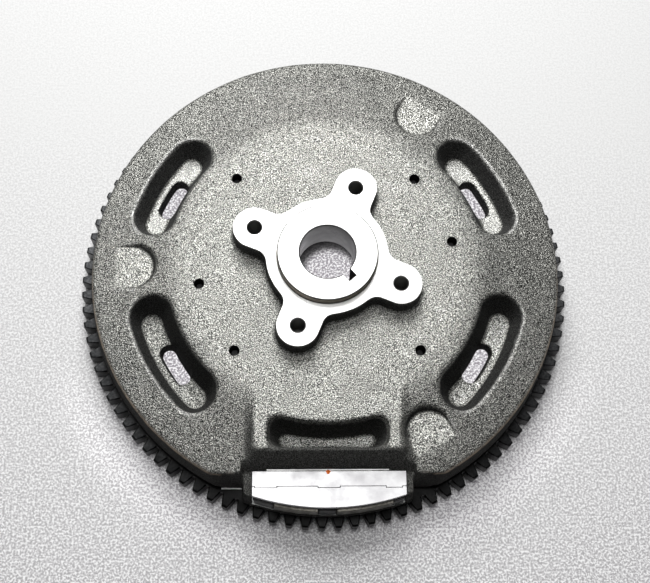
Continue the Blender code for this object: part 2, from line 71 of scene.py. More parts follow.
HUB_TOP = box_mm("flywheel_casting")[1][2]
WEB_Z = HUB_TOP - 15.6                    # flat top of the web
ARM_TOP = WEB_Z + 10.6                    # top of the fan cross
RIM_Z = WEB_Z - 10.6                      # upper outer edge of the rim
FOOT_Z = 17.0                             # lower edge of the rim wall
BLOCK_TOP = bar_high[2]
BLOCK_FLOOR = bar_low[2] - 0.3
BLOCK_Y = bar_high[1] + 0.3               # +Y wall of the opening for the magnet block
UNDER_Z = ret_high[2] + 0.3               # underside of the web
TIP_R = gear_high[0]
SEAT_R = 112.0                            # gear seat
CAVITY_R = iron_high[0] + 0.3

CONE_START_R = 72.0                       # the coned shoulder falls away from here
CONE = math.atan2(WEB_Z - RIM_Z - 1.0, 113.6 - CONE_START_R)
CONE_SLOPE = math.tan(CONE)
RIM_WALL = RIM_Z - FOOT_Z
PLATFORM_RISE = WEB_Z - BLOCK_TOP
PLATFORM_SLOPE = 6.8 / PLATFORM_RISE      # of the platform's -Y face
BLOCK_X = 0.25                            # middle of the block housing

ARM_PCD = 37.94                           # distance of the arm ends from the axis
ARM_ANGLES = [67.9 + 90.0 * k for k in range(4)]
LOBE_R = 10.2
DISC_R = 29.5
BORE_TOP_R = 13.4
BORE_END_R = 14.2
BOSS_R = 24.35
KEY_ANGLE = -48.5
KEY_FLOOR = 18.05                         # radius of the keyway's floor
KEY_HALF = 2.38

POCKETS = ((29.2, 11.6), (151.3, 11.5), (210.9, 13.8), (329.6, 13.6))    # angle, half angle
POCKET_MID_R = 90.0
POCKET_HALF = 5.3                         # half width at the floor
POCKET_Z = 25.0                           # floor height of all the pockets
POCKET_DRAFT = (11.1 - POCKET_HALF) / 15.0
SLOTS = (28.0, 152.3, 212.2, 328.2)
PADS = (60.0, 180.0, 300.0)
PAD_START_R = 96.0
PAD_Z = 36.5

# height, half width, outer radius of the magnet block's housing
HOUSING = (
    (12.0, 41.25, 119.3),
    (15.0, 41.25, 119.3),
    (16.2, 40.65, 118.7),
    (24.5, 40.65, 118.7),
    (31.0, 40.1, 117.1),
)

SCREW_COUNT = 6
SCREW_PITCH = 0.8


def read_screws():
    """Axis x, y and the lowest and highest z of each retainer screw."""
    screws = []
    for n in range(SCREW_COUNT):
        low, high = box_mm("retainer_screw_%d" % (n + 1))
        screws.append(((low[0] + high[0]) / 2, (low[1] + high[1]) / 2, low[2], high[2]))
    return screws


def polar(radius, degrees):
    angle = math.radians(degrees)
    return radius * math.cos(angle), radius * math.sin(angle)


SCREWS = read_screws()
FAN_HOLES = [polar(ARM_PCD, angle) for angle in ARM_ANGLES]


# ---- mesh helpers ---------------------------------------------------------------------------
def link_mesh(name, mesh):
    obj = bpy.data.objects.new(name, mesh)
    bpy.context.scene.collection.objects.link(obj)
    return obj


def new_object(name, verts, faces, scale=MILLIMETRE):
    mesh = bpy.data.meshes.new(name)
    mesh.from_pydata([(x * scale, y * scale, z * scale) for x, y, z in verts], [], faces)
    return link_mesh(name, mesh)


def net_object(name, verts, quads):
    """A mesh from arrays of vertices and quads."""
    mesh = bpy.data.meshes.new(name)
    mesh.vertices.add(len(verts))
    mesh.vertices.foreach_set("co", (verts * MILLIMETRE).astype(np.float32).ravel())
    mesh.loops.add(quads.size)
    mesh.loops.foreach_set("vertex_index", quads.astype(np.int32).ravel())
    mesh.polygons.add(len(quads))
    mesh.polygons.foreach_set("loop_start", np.arange(0, quads.size, 4, dtype=np.int32))
    mesh.update(calc_edges=True)
    mesh.validate()
    return link_mesh(name, mesh)


def apply_all(obj):
    """Replaces the object's mesh by its evaluated one and drops the modifiers."""
    graph = bpy.context.evaluated_depsgraph_get()
    graph.update()
    mesh = bpy.data.meshes.new_from_object(
        obj.evaluated_get(graph), preserve_all_data_layers=True, depsgraph=graph)
    obj.modifiers.clear()
    old = obj.data
    obj.data = mesh
    mesh.name = obj.name
    if old.users == 0:
        bpy.data.meshes.remove(old)


def drop(obj):
    bpy.data.objects.remove(obj, do_unlink=True)


def outward(obj):
    """Turns all face normals outward."""
    edit = bmesh.new()
    edit.from_mesh(obj.data)
    bmesh.ops.recalc_face_normals(edit, faces=edit.faces)
    edit.to_mesh(obj.data)
    edit.free()
    return obj


def sweep(profile, steps):
    """Copies of a (radius, height) profile, turned about Z."""
    verts = []
    for i in range(steps):
        angle = 2 * math.pi * i / steps
        cos, sin = math.cos(angle), math.sin(angle)
        verts += [(radius * cos, radius * sin, z) for radius, z in profile]
    return verts


def turned_ring(name, profile, steps):
    """A closed (radius, height) profile turned about Z."""
    faces, n = [], len(profile)
    for i in range(steps):
        j = (i + 1) % steps
        for k in range(n):
            m = (k + 1) % n
            faces.append((i * n + k, i * n + m, j * n + m, j * n + k))
    return outward(new_object(name, sweep(profile, steps), faces))


def turned_solid(name, profile, steps):
    """A (radius, height) profile that starts and ends on the axis, turned about Z."""
    inner = profile[1:-1]
    n = len(inner)
    verts, faces = sweep(inner, steps), []
    first, last = len(verts), len(verts) + 1
    verts += [(0.0, 0.0, profile[0][1]), (0.0, 0.0, profile[-1][1])]
    for i in range(steps):
        j = (i + 1) % steps
        for k in range(n - 1):
            faces.append((i * n + k, i * n + k + 1, j * n + k + 1, j * n + k))
        faces.append((first, i * n, j * n))
        faces.append((last, j * n + n - 1, i * n + n - 1))
    return outward(new_object(name, verts, faces))


def rings(name, loops, closed=True):
    """Quads between loops of equal point count; closed joins the last loop to the first."""
    n = len(loops[0])
    verts = [point for loop in loops for point in loop]
    faces = []
    for k in range(len(loops) if closed else len(loops) - 1):
        m = (k + 1) % len(loops)
        for i in range(n):
            j = (i + 1) % n
            faces.append((k * n + i, k * n + j, m * n + j, m * n + i))
    if not closed:
        faces.append(tuple(reversed(range(n))))
        faces.append(tuple(range((len(loops) - 1) * n, len(loops) * n)))
    return outward(new_object(name, verts, faces))


def arc_points(radius, start, end, count):
    return [polar(radius, start + (end - start) * i / count) for i in range(count + 1)]


def plate(name, outline, z0, z1):
    """A prism of one outline."""
    loops = [[(x, y, z) for x, y in outline] for z in (z0, z1)]
    return rings(name, loops, closed=False)


def block(name, x0, x1, y0, y1, z0, z1):
    return plate(name, [(x0, y0), (x0, y1), (x1, y1), (x1, y0)], z0, z1)


def move(obj, x=0.0, y=0.0, turn=0.0):
    shift = Matrix.Translation((x * MILLIMETRE, y * MILLIMETRE, 0.0))
    obj.data.transform(shift @ Matrix.Rotation(math.radians(turn), 4, "Z"))
    return obj


def join(name, parts):
    """Several closed shells as one object, used as one cutter."""
    verts, faces, base = [], [], 0
    for part in parts:
        verts += [tuple(v.co) for v in part.data.vertices]
        faces += [tuple(base + i for i in p.vertices) for p in part.data.polygons]
        base += len(part.data.vertices)
    obj = new_object(name, verts, faces, scale=1.0)
    for part in parts:
        drop(part)
    return obj


def carve(obj, cutter, operation="DIFFERENCE"):
    """One boolean, applied at once.  The cutter is used up."""
    modifier = obj.modifiers.new("carve", "BOOLEAN")
    modifier.operation = operation
    modifier.solver = "MANIFOLD"
    modifier.object = cutter
    apply_all(obj)
    drop(cutter)


def soften(obj, width, segments):
    """Bevels the sharp edges."""
    modifier = obj.modifiers.new("soften", "BEVEL")
    modifier.width = width * MILLIMETRE
    modifier.segments = segments
    modifier.limit_method = "ANGLE"
    modifier.angle_limit = math.radians(32.0)
    modifier.profile = 0.5
    modifier.use_clamp_overlap = True
    apply_all(obj)


def is_sharp(edge, limit):
    """Open edges and bends over the limit; where two materials meet, a lesser bend will do."""
    if len(edge.link_faces) != 2:
        return True
    bend = edge.calc_face_angle(0.0)
    first, second = edge.link_faces
    return bend > limit or first.material_index != second.material_index and bend > limit * 0.4


def shade(obj, crisp):
    """Smooth shading, with edges sharper than the crisp angle kept."""
    mesh = obj.data
    mesh.polygons.foreach_set("use_smooth", np.ones(len(mesh.polygons), bool))
    edit = bmesh.new()
    edit.from_mesh(mesh)
    for edge in edit.edges:
        edge.smooth = not is_sharp(edge, math.radians(crisp))
    edit.to_mesh(mesh)
    edit.free()
    even = obj.modifiers.new("even", "WEIGHTED_NORMAL")
    even.mode = "FACE_AREA"
    even.keep_sharp = True
    apply_all(obj)


def dress(obj, *materials):
    obj.data.materials.clear()
    for material in materials:
        obj.data.materials.append(material)


def mount(obj, node, crisp=32.0):
    """Shades a part and puts it in the frame in place of a CAD node."""
    shade(obj, crisp)
    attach(obj, "root")
    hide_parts(node)


# ---- distance field helpers -----------------------------------------------------------------
def round_meet(a, b, fillet):
    """Both regions at once, with their common edge rounded."""
    reach = 1.17 * fillet
    overlap = np.maximum(reach - np.abs(a - b), 0.0)
    return np.maximum(a, b) + overlap * overlap / (4.0 * reach)


def fillet_union(a, b, fillet):
    return -round_meet(-a, -b, fillet)


def round_cut(a, b, fillet):
    return round_meet(a, -b, fillet)


def plane(value, slope):
    """Turns a difference along one axis into a distance from a face of that slope."""
    return value / math.sqrt(1.0 + slope * slope)


def drafted(value, height, slope):
    """Distance from a wall that moves outward with height."""
    return plane(value - height * slope, slope)


def fade(difference, width):
    """0 below zero, rising to 1 at the given width."""
    return np.clip(difference / width, 0.0, 1.0)


def turned_axes(x, y, degrees):
    """Distances along and across a direction from the axis."""
    angle = math.radians(degrees)
    along = x * math.cos(angle) + y * math.sin(angle)
    across = -x * math.sin(angle) + y * math.cos(angle)
    return along, across


def kidney(x, y, mid_r, angle, half):
    """Distance from the middle line of an arc slot."""
    turn = (np.degrees(np.arctan2(y, x)) - angle + 180.0) % 360.0 - 180.0
    ends = []
    for side in (-1, 1):
        end_x, end_y = polar(mid_r, angle + side * half)
        ends.append(np.hypot(x - end_x, y - end_y))
    return np.where(np.abs(turn) < half, np.abs(np.hypot(x, y) - mid_r), np.minimum(*ends))


# ---- as-cast body ---------------------------------------------------------------------------
def platform(x, y, z):
    """Level ground between the magnet block and the web, with sloping sides."""
    half_width, front_y, inner_y = 35.5, -92.6, -55.0
    side_slope = 4.5 / PLATFORM_RISE
    below = WEB_Z - z
    side = drafted(np.abs(x) - half_width, below, side_slope)
    front = plane(front_y - below * PLATFORM_SLOPE - y, PLATFORM_SLOPE)
    return np.maximum(round_meet(side, front, fillet=3.0), y - inner_y)


def turned_blank(x, y, z, radius):
    """Flat web, coned shoulder with the platform on it, and the rim wall."""
    wall_r, skirt_r = 115.9, 116.4
    cone = (z - WEB_Z + (radius - CONE_START_R) * CONE_SLOPE) * math.cos(CONE)
    shoulder = fillet_union(cone, platform(x, y, z), fillet=3.2)
    near_platform = fade(44.0 - np.abs(x), 5.0) * fade(-60.0 - y, 8.0)
    body = round_meet(z - WEB_Z, shoulder, fillet=1.9 - 0.3 * near_platform)
    wall = drafted(radius - wall_r, RIM_Z - z, 1.9 / RIM_WALL)
    body = round_meet(body, wall, fillet=1.7)
    under = np.maximum(skirt_r - radius, z - FOOT_Z + 0.7)
    return round_cut(body, under, fillet=0.8)


def cut_rim_flats(body, x, y, z):
    """Flats across the rim on both sides of the magnet block."""
    flat_y, slope = -101.9, 3.1 / RIM_WALL
    chord = plane(flat_y - np.minimum(RIM_Z - z, RIM_WALL) * slope - y, slope)
    reached = (z > 11.5) | ((z > 9.0) & (np.abs(x) > 38.0))
    return np.where(reached, round_meet(body, chord, fillet=0.9), body)


def cut_block_step(body, x, y, z):
    """Step from the platform's -Y face down to the magnet block."""
    step_y, half_width = -93.0, 41.0
    front = -plane(step_y - (WEB_Z - z) * PLATFORM_SLOPE - y, PLATFORM_SLOPE)
    sides = np.abs(x - BLOCK_X) - half_width - (z - 31.0) * 0.06
    step = np.maximum(round_meet(front, sides, fillet=1.0), BLOCK_TOP - 1.0 - z)
    return round_cut(body, step, fillet=0.9)


def block_housing(x, y, z, radius):
    heights, halves, reaches = zip(*HOUSING)
    levels = z.astype(np.float64)
    half = np.interp(levels, heights, halves).astype(np.float32)
    reach = np.interp(levels, heights, reaches).astype(np.float32)
    house = round_meet(np.abs(x - BLOCK_X) - half, radius - reach, fillet=1.0)
    house = round_meet(house, z - (BLOCK_TOP - 0.9), fillet=1.0)
    house = np.maximum(house, 12.2 - z)
    return np.maximum(house, y + 84.0)


def fan_cross(x, y, z, radius):
    """Disc with four round-ended arms and drafted walls."""
    cross = radius - DISC_R
    for angle in ARM_ANGLES:
        along, across = turned_axes(x, y, angle)
        arm = np.hypot(along - np.clip(along, 0.0, ARM_PCD), across) - LOBE_R
        cross = fillet_union(cross, arm, fillet=3.6)
    cross = drafted(cross, ARM_TOP - z, 0.045)
    cross = np.maximum(cross, z - ARM_TOP - 1.6)
    return np.maximum(cross, 30.0 - z)


def cut_pockets(body, x, y, z):
    """Arc pockets in the shoulder, with the slots through their floors."""
    for angle, half_angle in POCKETS:
        middle = kidney(x, y, POCKET_MID_R, angle, half_angle)
        pocket = drafted(middle - POCKET_HALF, z - POCKET_Z, POCKET_DRAFT)
        pocket = round_meet(pocket, POCKET_Z - z, fillet=1.2)
        body = round_cut(body, pocket, fillet=1.1)
    for angle in SLOTS:
        middle = kidney(x, y, mid_r=87.7, angle=angle, half=4.3)
        body = round_cut(body, drafted(middle - 3.2, z - 18.0, 0.17), fillet=0.5)
    return body


def cut_platform_pocket(body, x, y, z, radius):
    """Wide pocket in the platform, narrowing towards its floor."""
    top_z, inner_r, half_width, front_y = 43.5, 79.3, 28.7, -91.3
    inner_share, side_share, front_share = 0.74, 0.78, 0.55    # of the common draft
    slope = 5.4 / 18.5
    inset = np.maximum((top_z - z) * slope, -1.0)
    inner = plane(inner_r + inner_share * inset - radius, inner_share * slope)
    sides = plane(np.abs(x) - half_width + side_share * inset, side_share * slope)
    front = plane(front_y + front_share * inset - y, front_share * slope)
    pocket = round_meet(inner, sides, fillet=7.2)
    pocket = round_meet(pocket, front, fillet=5.4)
    pocket = np.maximum(round_meet(pocket, POCKET_Z - z, fillet=1.3), y + 60.0)
    return round_cut(body, pocket, fillet=1.1)


def cut_pads(body, x, y, z):
    """Pads sunk into the shoulder: round on the inside, running straight out."""
    for angle in PADS:
        along, across = turned_axes(x, y, angle)
        middle = np.hypot(np.minimum(along - PAD_START_R, 0.0), across)
        middle = middle + np.where(along < 0.0, 200.0, 0.0)    # this side of the axis only
        pad = drafted(middle - 10.8, z - PAD_Z, 0.44)
        pad = round_meet(pad, PAD_Z - z, fillet=0.6)
        body = round_cut(body, pad, fillet=0.8)
    return body


def cast_body(x, y, z):
    """Distance from the as-cast surface, negative inside."""
    radius = np.hypot(x, y)
    body = turned_blank(x, y, z, radius)
    body = cut_rim_flats(body, x, y, z)
    body = cut_block_step(body, x, y, z)
    body = fillet_union(body, block_housing(x, y, z, radius), fillet=0.8)
    body = fillet_union(body, fan_cross(x, y, z, radius), fillet=1.5)
    body = cut_pockets(body, x, y, z)
    body = cut_platform_pocket(body, x, y, z, radius)
    body = cut_pads(body, x, y, z)
    # relief groove in the underside
    groove = drafted(np.abs(radius - 90.5) - 8.6, 18.0 - z, 0.05)
    body = round_cut(body, round_meet(groove, z - 18.0, fillet=1.8), fillet=0.8)
    return np.maximum(body, -1.4 - z)


# ---- field to mesh --------------------------------------------------------------------------
def net_points(values, cells):
    """Mean of the zero crossings on the edges of each cell, in grid units."""
    total = np.zeros((len(cells), 3), np.float32)
    count = np.zeros(len(cells), np.float32)
    corners = [(i, j, k) for i in (0, 1) for j in (0, 1) for k in (0, 1)]
    at = {c: values[cells[:, 0] + c[0], cells[:, 1] + c[1], cells[:, 2] + c[2]] for c in corners}
    for corner in corners:
        for axis in range(3):
            if corner[axis]:
                continue
            other = tuple(1 if a == axis else corner[a] for a in range(3))
            start, end = at[corner], at[other]
            crosses = (start < 0) != (end < 0)
            part = np.where(crosses, start / np.where(crosses, start - end, 1.0), 0.0)
            step = np.eye(3, dtype=np.float32)[axis][None, :]
            point = np.array(corner, np.float32)[None, :] + part[:, None] * step
            total[crosses] += point[crosses]
            count[crosses] += 1.0
    return cells + total / count[:, None]


def net_quads(inside, index, axis):
    """Quads around the grid edges along one axis that cross the surface."""
    second_axis, third_axis = (axis + 1) % 3, (axis + 2) % 3
    near, far = [slice(None)] * 3, [slice(None)] * 3
    near[axis] = slice(0, -1)
    far[axis] = slice(1, None)
    for part in (near, far):
        part[second_axis] = slice(1, -1)
        part[third_axis] = slice(1, -1)
    start, end = inside[tuple(near)], inside[tuple(far)]
    quads = []
    for mask, flip in ((start & ~end, False), (~start & end, True)):
        edges = np.argwhere(mask)
        edges[:, second_axis] += 1
        edges[:, third_axis] += 1
        around = []
        for second, third in ((-1, -1), (0, -1), (0, 0), (-1, 0)):
            cell = edges.copy()
            cell[:, second_axis] += second
            cell[:, third_axis] += third
            around.append(index[cell[:, 0], cell[:, 1], cell[:, 2]])
        if flip:
            around.reverse()
        quads.append(np.stack(around, 1))
    return quads


def surface_net(field, low, high, step):
    """Vertices and outward quads of the zero surface of a field on a regular grid."""
    xs, ys, zs = [np.arange(low[i], high[i] + step, step, dtype=np.float32) for i in range(3)]
    values = field(xs[:, None, None], ys[None, :, None], zs[None, None, :])
    values = np.broadcast_to(values, [len(xs), len(ys), len(zs)])
    values = np.ascontiguousarray(values).astype(np.float32)
    inside = values < 0
    filled = np.zeros([size - 1 for size in values.shape], np.int8)
    nx, ny, nz = filled.shape
    for i in (0, 1):
        for j in (0, 1):
            for k in (0, 1):
                filled += inside[i:i + nx, j:j + ny, k:k + nz]
    active = (filled > 0) & (filled < 8)
    index = np.full(active.shape, -1, np.int32)
    cells = np.argwhere(active)
    index[active] = np.arange(len(cells), dtype=np.int32)
    verts = np.array(low, np.float32) + net_points(values, cells) * step
    quads = [quad for axis in range(3) for quad in net_quads(inside, index, axis)]
    return verts, np.concatenate(quads)


def gradient(field, x, y, z):
    reach = 0.04
    return np.stack([field(x + reach, y, z) - field(x - reach, y, z),
                     field(x, y + reach, z) - field(x, y - reach, z),
                     field(x, y, z + reach) - field(x, y, z - reach)], 1) / (2 * reach)


def settle(field, verts):
    """Moves net vertices onto the zero surface.  Returns them with the surface normals."""
    rounds, longest_move = 3, 0.4
    points = verts.astype(np.float64)
    for turn in range(rounds + 1):
        x, y, z = points[:, 0], points[:, 1], points[:, 2]
        normals = gradient(field, x, y, z)
        length = np.linalg.norm(normals, axis=1)
        normals /= np.maximum(length, 1e-6)[:, None]
        if turn < rounds:
            away = field(x, y, z) / np.maximum(length, 0.3)
            points -= normals * np.clip(away, -longest_move, longest_move)[:, None]
    return points, normals


def value_noise(points, scale, seed):
    """Smooth random values in -1..1 at the points, with features of the given size."""
    cell = points / scale + 1000.0
    base = np.floor(cell).astype(np.int64)
    part = cell - base
    part = part * part * (3 - 2 * part)
    out = np.zeros(len(points))
    for i in (0, 1):
        for j in (0, 1):
            for k in (0, 1):
                # hash of the lattice corner
                value = (((base[:, 0] + i) * 73856093) ^ ((base[:, 1] + j) * 19349663)
                         ^ ((base[:, 2] + k) * 83492791) ^ (seed * 2654435761))
                value = (value ^ (value >> 13)) * 1274126177
                value = (value ^ (value >> 16)) & 0xFFFF
                weight = ((part[:, 0] if i else 1 - part[:, 0])
                          * (part[:, 1] if j else 1 - part[:, 1])
                          * (part[:, 2] if k else 1 - part[:, 2]))
                out += weight * (value / 32767.5 - 1.0)
    return out


# ---- node materials -------------------------------------------------------------------------
def rgba(value):
    """A colour socket's value from a tuple or a grey; node sockets pass through."""
    if isinstance(value, bpy.types.NodeSocket):
        return value
    return (*value, 1.0) if isinstance(value, tuple) else (value, value, value, 1.0)


def mix_shader(tree, fac, first, second):
    node = tree.nodes.new("ShaderNodeMixShader")
    for socket, source in zip(node.inputs, (fac, first, second)):
        tree.links.new(source, socket)
    return node.outputs[0]


class Nodes:
    """A little builder for node materials."""

    def __init__(self, name):
        self.material = bpy.data.materials.new(name)
        self.material.use_nodes = True
        self.tree = self.material.node_tree
        self.tree.nodes.clear()
        self.out = self.add("OutputMaterial")
        self.bsdf = self.add("BsdfPrincipled")
        self.link(self.bsdf.outputs[0], self.out.inputs[0])
        self.coord = self.add("TexCoord").outputs["Object"]

    def add(self, kind):
        return self.tree.nodes.new("ShaderNode" + kind)

    def link(self, source, socket):
        self.tree.links.new(source, socket)

    def put(self, socket, value):
        if isinstance(value, bpy.types.NodeSocket):
            self.link(value, socket)
        elif value is not None:
            socket.default_value = value

    def noise(self, scale, detail, rough, vector=None):
        """Noise value; the scale is in features per metre."""
        node = self.add("TexNoise")
        self.put(node.inputs["Vector"], vector or self.coord)
        node.inputs["Scale"].default_value = scale
        node.inputs["Detail"].default_value = detail
        node.inputs["Roughness"].default_value = rough
        return node.outputs[0]

    def voronoi(self, scale):
        node = self.add("TexVoronoi")
        self.put(node.inputs["Vector"], self.coord)
        node.inputs["Scale"].default_value = scale
        return node.outputs["Distance"]

    def ramp(self, fac, *stops, ease=False):
        """Colour ramp; each stop is a position with a colour or a grey."""
        node = self.add("ValToRGB")
        self.put(node.inputs[0], fac)
        if ease:
            node.color_ramp.interpolation = "EASE"
        elements = node.color_ramp.elements
        elements[0].position, elements[1].position = stops[0][0], stops[-1][0]
        for position, _ in stops[1:-1]:
            elements.new(position)
        for element, stop in zip(sorted(elements, key=lambda e: e.position), stops):
            element.color = rgba(stop[1])
        return node.outputs[0]

    def math(self, operation, *values, clamp=False):
        node = self.add("Math")
        node.operation = operation
        node.use_clamp = clamp
        for socket, value in zip(node.inputs, values):
            self.put(socket, value)
        return node.outputs[0]

    def times(self, first, second):
        return self.math("MULTIPLY", first, second)

    def plus(self, first, second, clamp=False):
        return self.math("ADD", first, second, clamp=clamp)

    def mix(self, fac, first, second, blend="MIX"):
        node = self.add("Mix")
        node.data_type = "RGBA"
        node.blend_type = blend
        node.clamp_factor = True
        self.put(node.inputs[0], fac)
        self.put(node.inputs[6], rgba(first))
        self.put(node.inputs[7], rgba(second))
        return node.outputs[2]

    def tint(self, colour, tone):
        return self.mix(1.0, colour, tone, "MULTIPLY")

    def remap(self, value, *limits):
        """Maps the range limits[0:2] onto limits[2:4]."""
        node = self.add("MapRange")
        self.put(node.inputs[0], value)
        for k, limit in enumerate(limits):
            node.inputs[k + 1].default_value = limit
        return node.outputs[0]

    def bump(self, height, strength, distance, normal=None):
        node = self.add("Bump")
        node.inputs["Strength"].default_value = strength
        node.inputs["Distance"].default_value = distance
        self.put(node.inputs["Height"], height)
        self.put(node.inputs["Normal"], normal)
        return node.outputs[0]

    def separate(self):
        node = self.add("SeparateXYZ")
        self.link(self.coord, node.inputs[0])
        return node.outputs[0], node.outputs[1], node.outputs[2]

    def combine(self, *values):
        node = self.add("CombineXYZ")
        for socket, value in zip(node.inputs, values):
            self.put(socket, value)
        return node.outputs[0]

    def radius(self, centre_x=0.0, centre_y=0.0):
        x, y, _ = self.separate()
        x = self.math("SUBTRACT", x, centre_x)
        y = self.math("SUBTRACT", y, centre_y)
        return self.math("SQRT", self.plus(self.times(x, x), self.times(y, y)))

    def attribute(self, name):
        node = self.add("Attribute")
        node.attribute_name = name
        return node.outputs["Fac"]

    def finish(self, colour, metallic, rough, normal, specular=None):
        self.put(self.bsdf.inputs["Base Color"], colour)
        self.put(self.bsdf.inputs["Metallic"], metallic)
        self.put(self.bsdf.inputs["Roughness"], rough)
        self.put(self.bsdf.inputs["Specular IOR Level"], specular)
        self.put(self.bsdf.inputs["Normal"], normal)
        return self.material


def iron_colour(mat, speckle, blotch, along):
    """Blasted iron: bright peaks and dark grains, with painted light: brighter and starker on the
    floors, pads and web that look up.
    """
    wide = mat.noise(scale=16.0, detail=2.0, rough=0.5)
    colour = mat.ramp(speckle, (0.41, (0.010, 0.011, 0.010)), (0.47, (0.090, 0.091, 0.087)),
                      (0.53, (0.270, 0.270, 0.260)), (0.59, (0.70, 0.70, 0.68)))
    stark = mat.ramp(speckle, (0.42, (0.004, 0.004, 0.004)), (0.47, (0.055, 0.056, 0.054)),
                     (0.525, (0.215, 0.215, 0.206)), (0.585, (0.80, 0.80, 0.775)))
    # painted light: the pads and the up-facing faces of the lit attribute get a brighter, starker
    # colour
    in_pad = mat.remap(mat.attribute("pad"), 0.0, 0.35, 0.0, 1.0)
    painted_light_face = mat.math("MULTIPLY_ADD", in_pad, 0.72, mat.attribute("lit"))
    colour = mat.mix(mat.remap(painted_light_face, 0.15, -0.10, 0.0, 0.85), colour, stark)
    tone = mat.ramp(blotch, (0.3, (0.90, 0.90, 0.895)), (0.7, (1.07, 1.07, 1.06)))
    colour = mat.tint(colour, tone)
    tone = mat.ramp(wide, (0.3, (0.92, 0.925, 0.915)), (0.7, (1.05, 1.045, 1.035)))
    colour = mat.tint(colour, tone)
    lit = mat.math("MULTIPLY_ADD", painted_light_face, 0.75, 1.0)
    # painted light, evened out: the brightest floors away from -Y are pulled towards a flat grey
    even = mat.remap(mat.attribute("lit"), 0.9, 1.4, 0.0, 0.5)
    even = mat.times(even, mat.remap(along, -0.070, -0.050, 0.0, 1.0))
    colour = mat.mix(even, colour, (0.26, 0.26, 0.255))
    return mat.tint(colour, mat.combine(lit, lit, mat.times(lit, 0.98)))


def iron_painted_shade(mat, speckle, along):
    """Colour of the painted shade on the cast iron: it changes along Y and is darkest outside the
    rim.
    """
    outside = mat.ramp(mat.radius(), (0.1095, 0.0), (0.1125, 1.0))
    shade_colour = mat.mix(mat.remap(along, -0.035, 0.010, 0.0, 1.0),
                   (0.022, 0.022, 0.0215), (0.046, 0.046, 0.045))
    shade_colour = mat.mix(mat.remap(along, -0.075, -0.090, 0.0, 1.0), shade_colour, (0.058, 0.058, 0.055))
    shade_colour = mat.mix(outside, shade_colour, (0.016, 0.0155, 0.015))
    return mat.tint(shade_colour, mat.ramp(speckle, (0.42, 0.45), (0.50, 0.85), (0.58, 2.0)))


def iron_wear_and_highlight(mat, speckle):
    """Colour of worn edges and painted highlights: bright, and brown outside the rim."""
    outer = mat.ramp(mat.times(mat.radius(), 1.0), (0.1085, 0.0), (0.1125, 1.0))
    bright = mat.ramp(speckle, (0.42, (0.22, 0.22, 0.215)), (0.58, (0.98, 0.975, 0.95)))
    return mat.mix(outer, bright, (0.42, 0.34, 0.26))


def cast_iron():
    """Shot-blasted sand casting, with painted shade in the hollows, on walls and around the
    block, painted light on floors and pads, and worn edges with painted highlights.
    """
    mat = Nodes("cast_iron_as_cast")
    grain = mat.noise(scale=2700.0, detail=1.0, rough=0.5)
    coarse = mat.noise(scale=1500.0, detail=2.0, rough=0.55)
    blotch = mat.noise(scale=90.0, detail=3.0, rough=0.6)
    height = mat.plus(mat.times(grain, 0.8), mat.times(coarse, 0.7))
    height = mat.plus(height, mat.times(mat.voronoi(scale=1100.0), 0.40))
    bump = mat.bump(height, strength=1.0, distance=0.00034)
    bump = mat.bump(blotch, strength=0.25, distance=0.0004, normal=bump)
    speckle = mat.plus(mat.times(grain, 0.68), mat.times(coarse, 0.32))
    _, along, _ = mat.separate()
    colour = iron_colour(mat, speckle, blotch, along)
    # painted shade: hollows, walls and corners are painted dark and made less metallic
    painted_shade_weight = mat.attribute("painted_shade")
    colour = mat.mix(mat.times(painted_shade_weight, 0.95), colour, iron_painted_shade(mat, speckle, along))
    # worn edges, partly painted highlights on the pocket lips and the rim's edge
    patches = mat.noise(scale=240.0, detail=3.0, rough=0.6)
    chips = mat.ramp(patches, (0.35, 0.35), (0.6, 1.0))
    wear_and_highlight = mat.times(mat.times(mat.attribute("edge"), chips), 0.92)
    colour = mat.mix(wear_and_highlight, colour, iron_wear_and_highlight(mat, speckle))
    rough = mat.remap(coarse, 0.3, 0.7, 0.32, 0.52)
    rough = mat.plus(rough, mat.times(painted_shade_weight, 0.35), clamp=True)
    unshaded = mat.math("SUBTRACT", 1.0, mat.times(painted_shade_weight, 0.9))
    return mat.finish(colour, metallic=mat.times(unshaded, 0.72), rough=rough, normal=bump,
                      specular=mat.times(unshaded, 0.5))


def turned_metal(name, light, dark, rough, lines=2600.0, metallic=0.95):
    """Faced or turned metal: circular tool marks (lines per metre) and faint smudges."""
    mat = Nodes(name)
    radius = mat.radius()
    _, _, z = mat.separate()
    warp = mat.noise(scale=40.0, detail=2.0, rough=0.5)
    radial = mat.plus(mat.times(radius, lines), mat.times(warp, 0.6))
    circles = mat.combine(radial, mat.times(z, lines), 0.0)
    marks = mat.noise(scale=1.0, detail=3.0, rough=0.6, vector=circles)
    smudge = mat.noise(scale=55.0, detail=4.0, rough=0.6)
    fine = mat.noise(scale=900.0, detail=2.0, rough=0.5)
    colour = mat.mix(mat.ramp(smudge, (0.35, 0.0), (0.75, 1.0)), light, dark)
    furrow = mat.ramp(marks, (0.3, 1.0), (0.6, 0.0))
    colour = mat.mix(mat.times(furrow, 0.22), colour, dark)
    gloss = mat.remap(smudge, 0.3, 0.7, *rough)
    gloss = mat.plus(gloss, mat.times(mat.math("SUBTRACT", marks, 0.5), 0.12))
    bump = mat.bump(marks, strength=0.30, distance=0.00006)
    bump = mat.bump(fine, strength=0.12, distance=0.00005, normal=bump)
    return mat.finish(colour, metallic, gloss, bump)


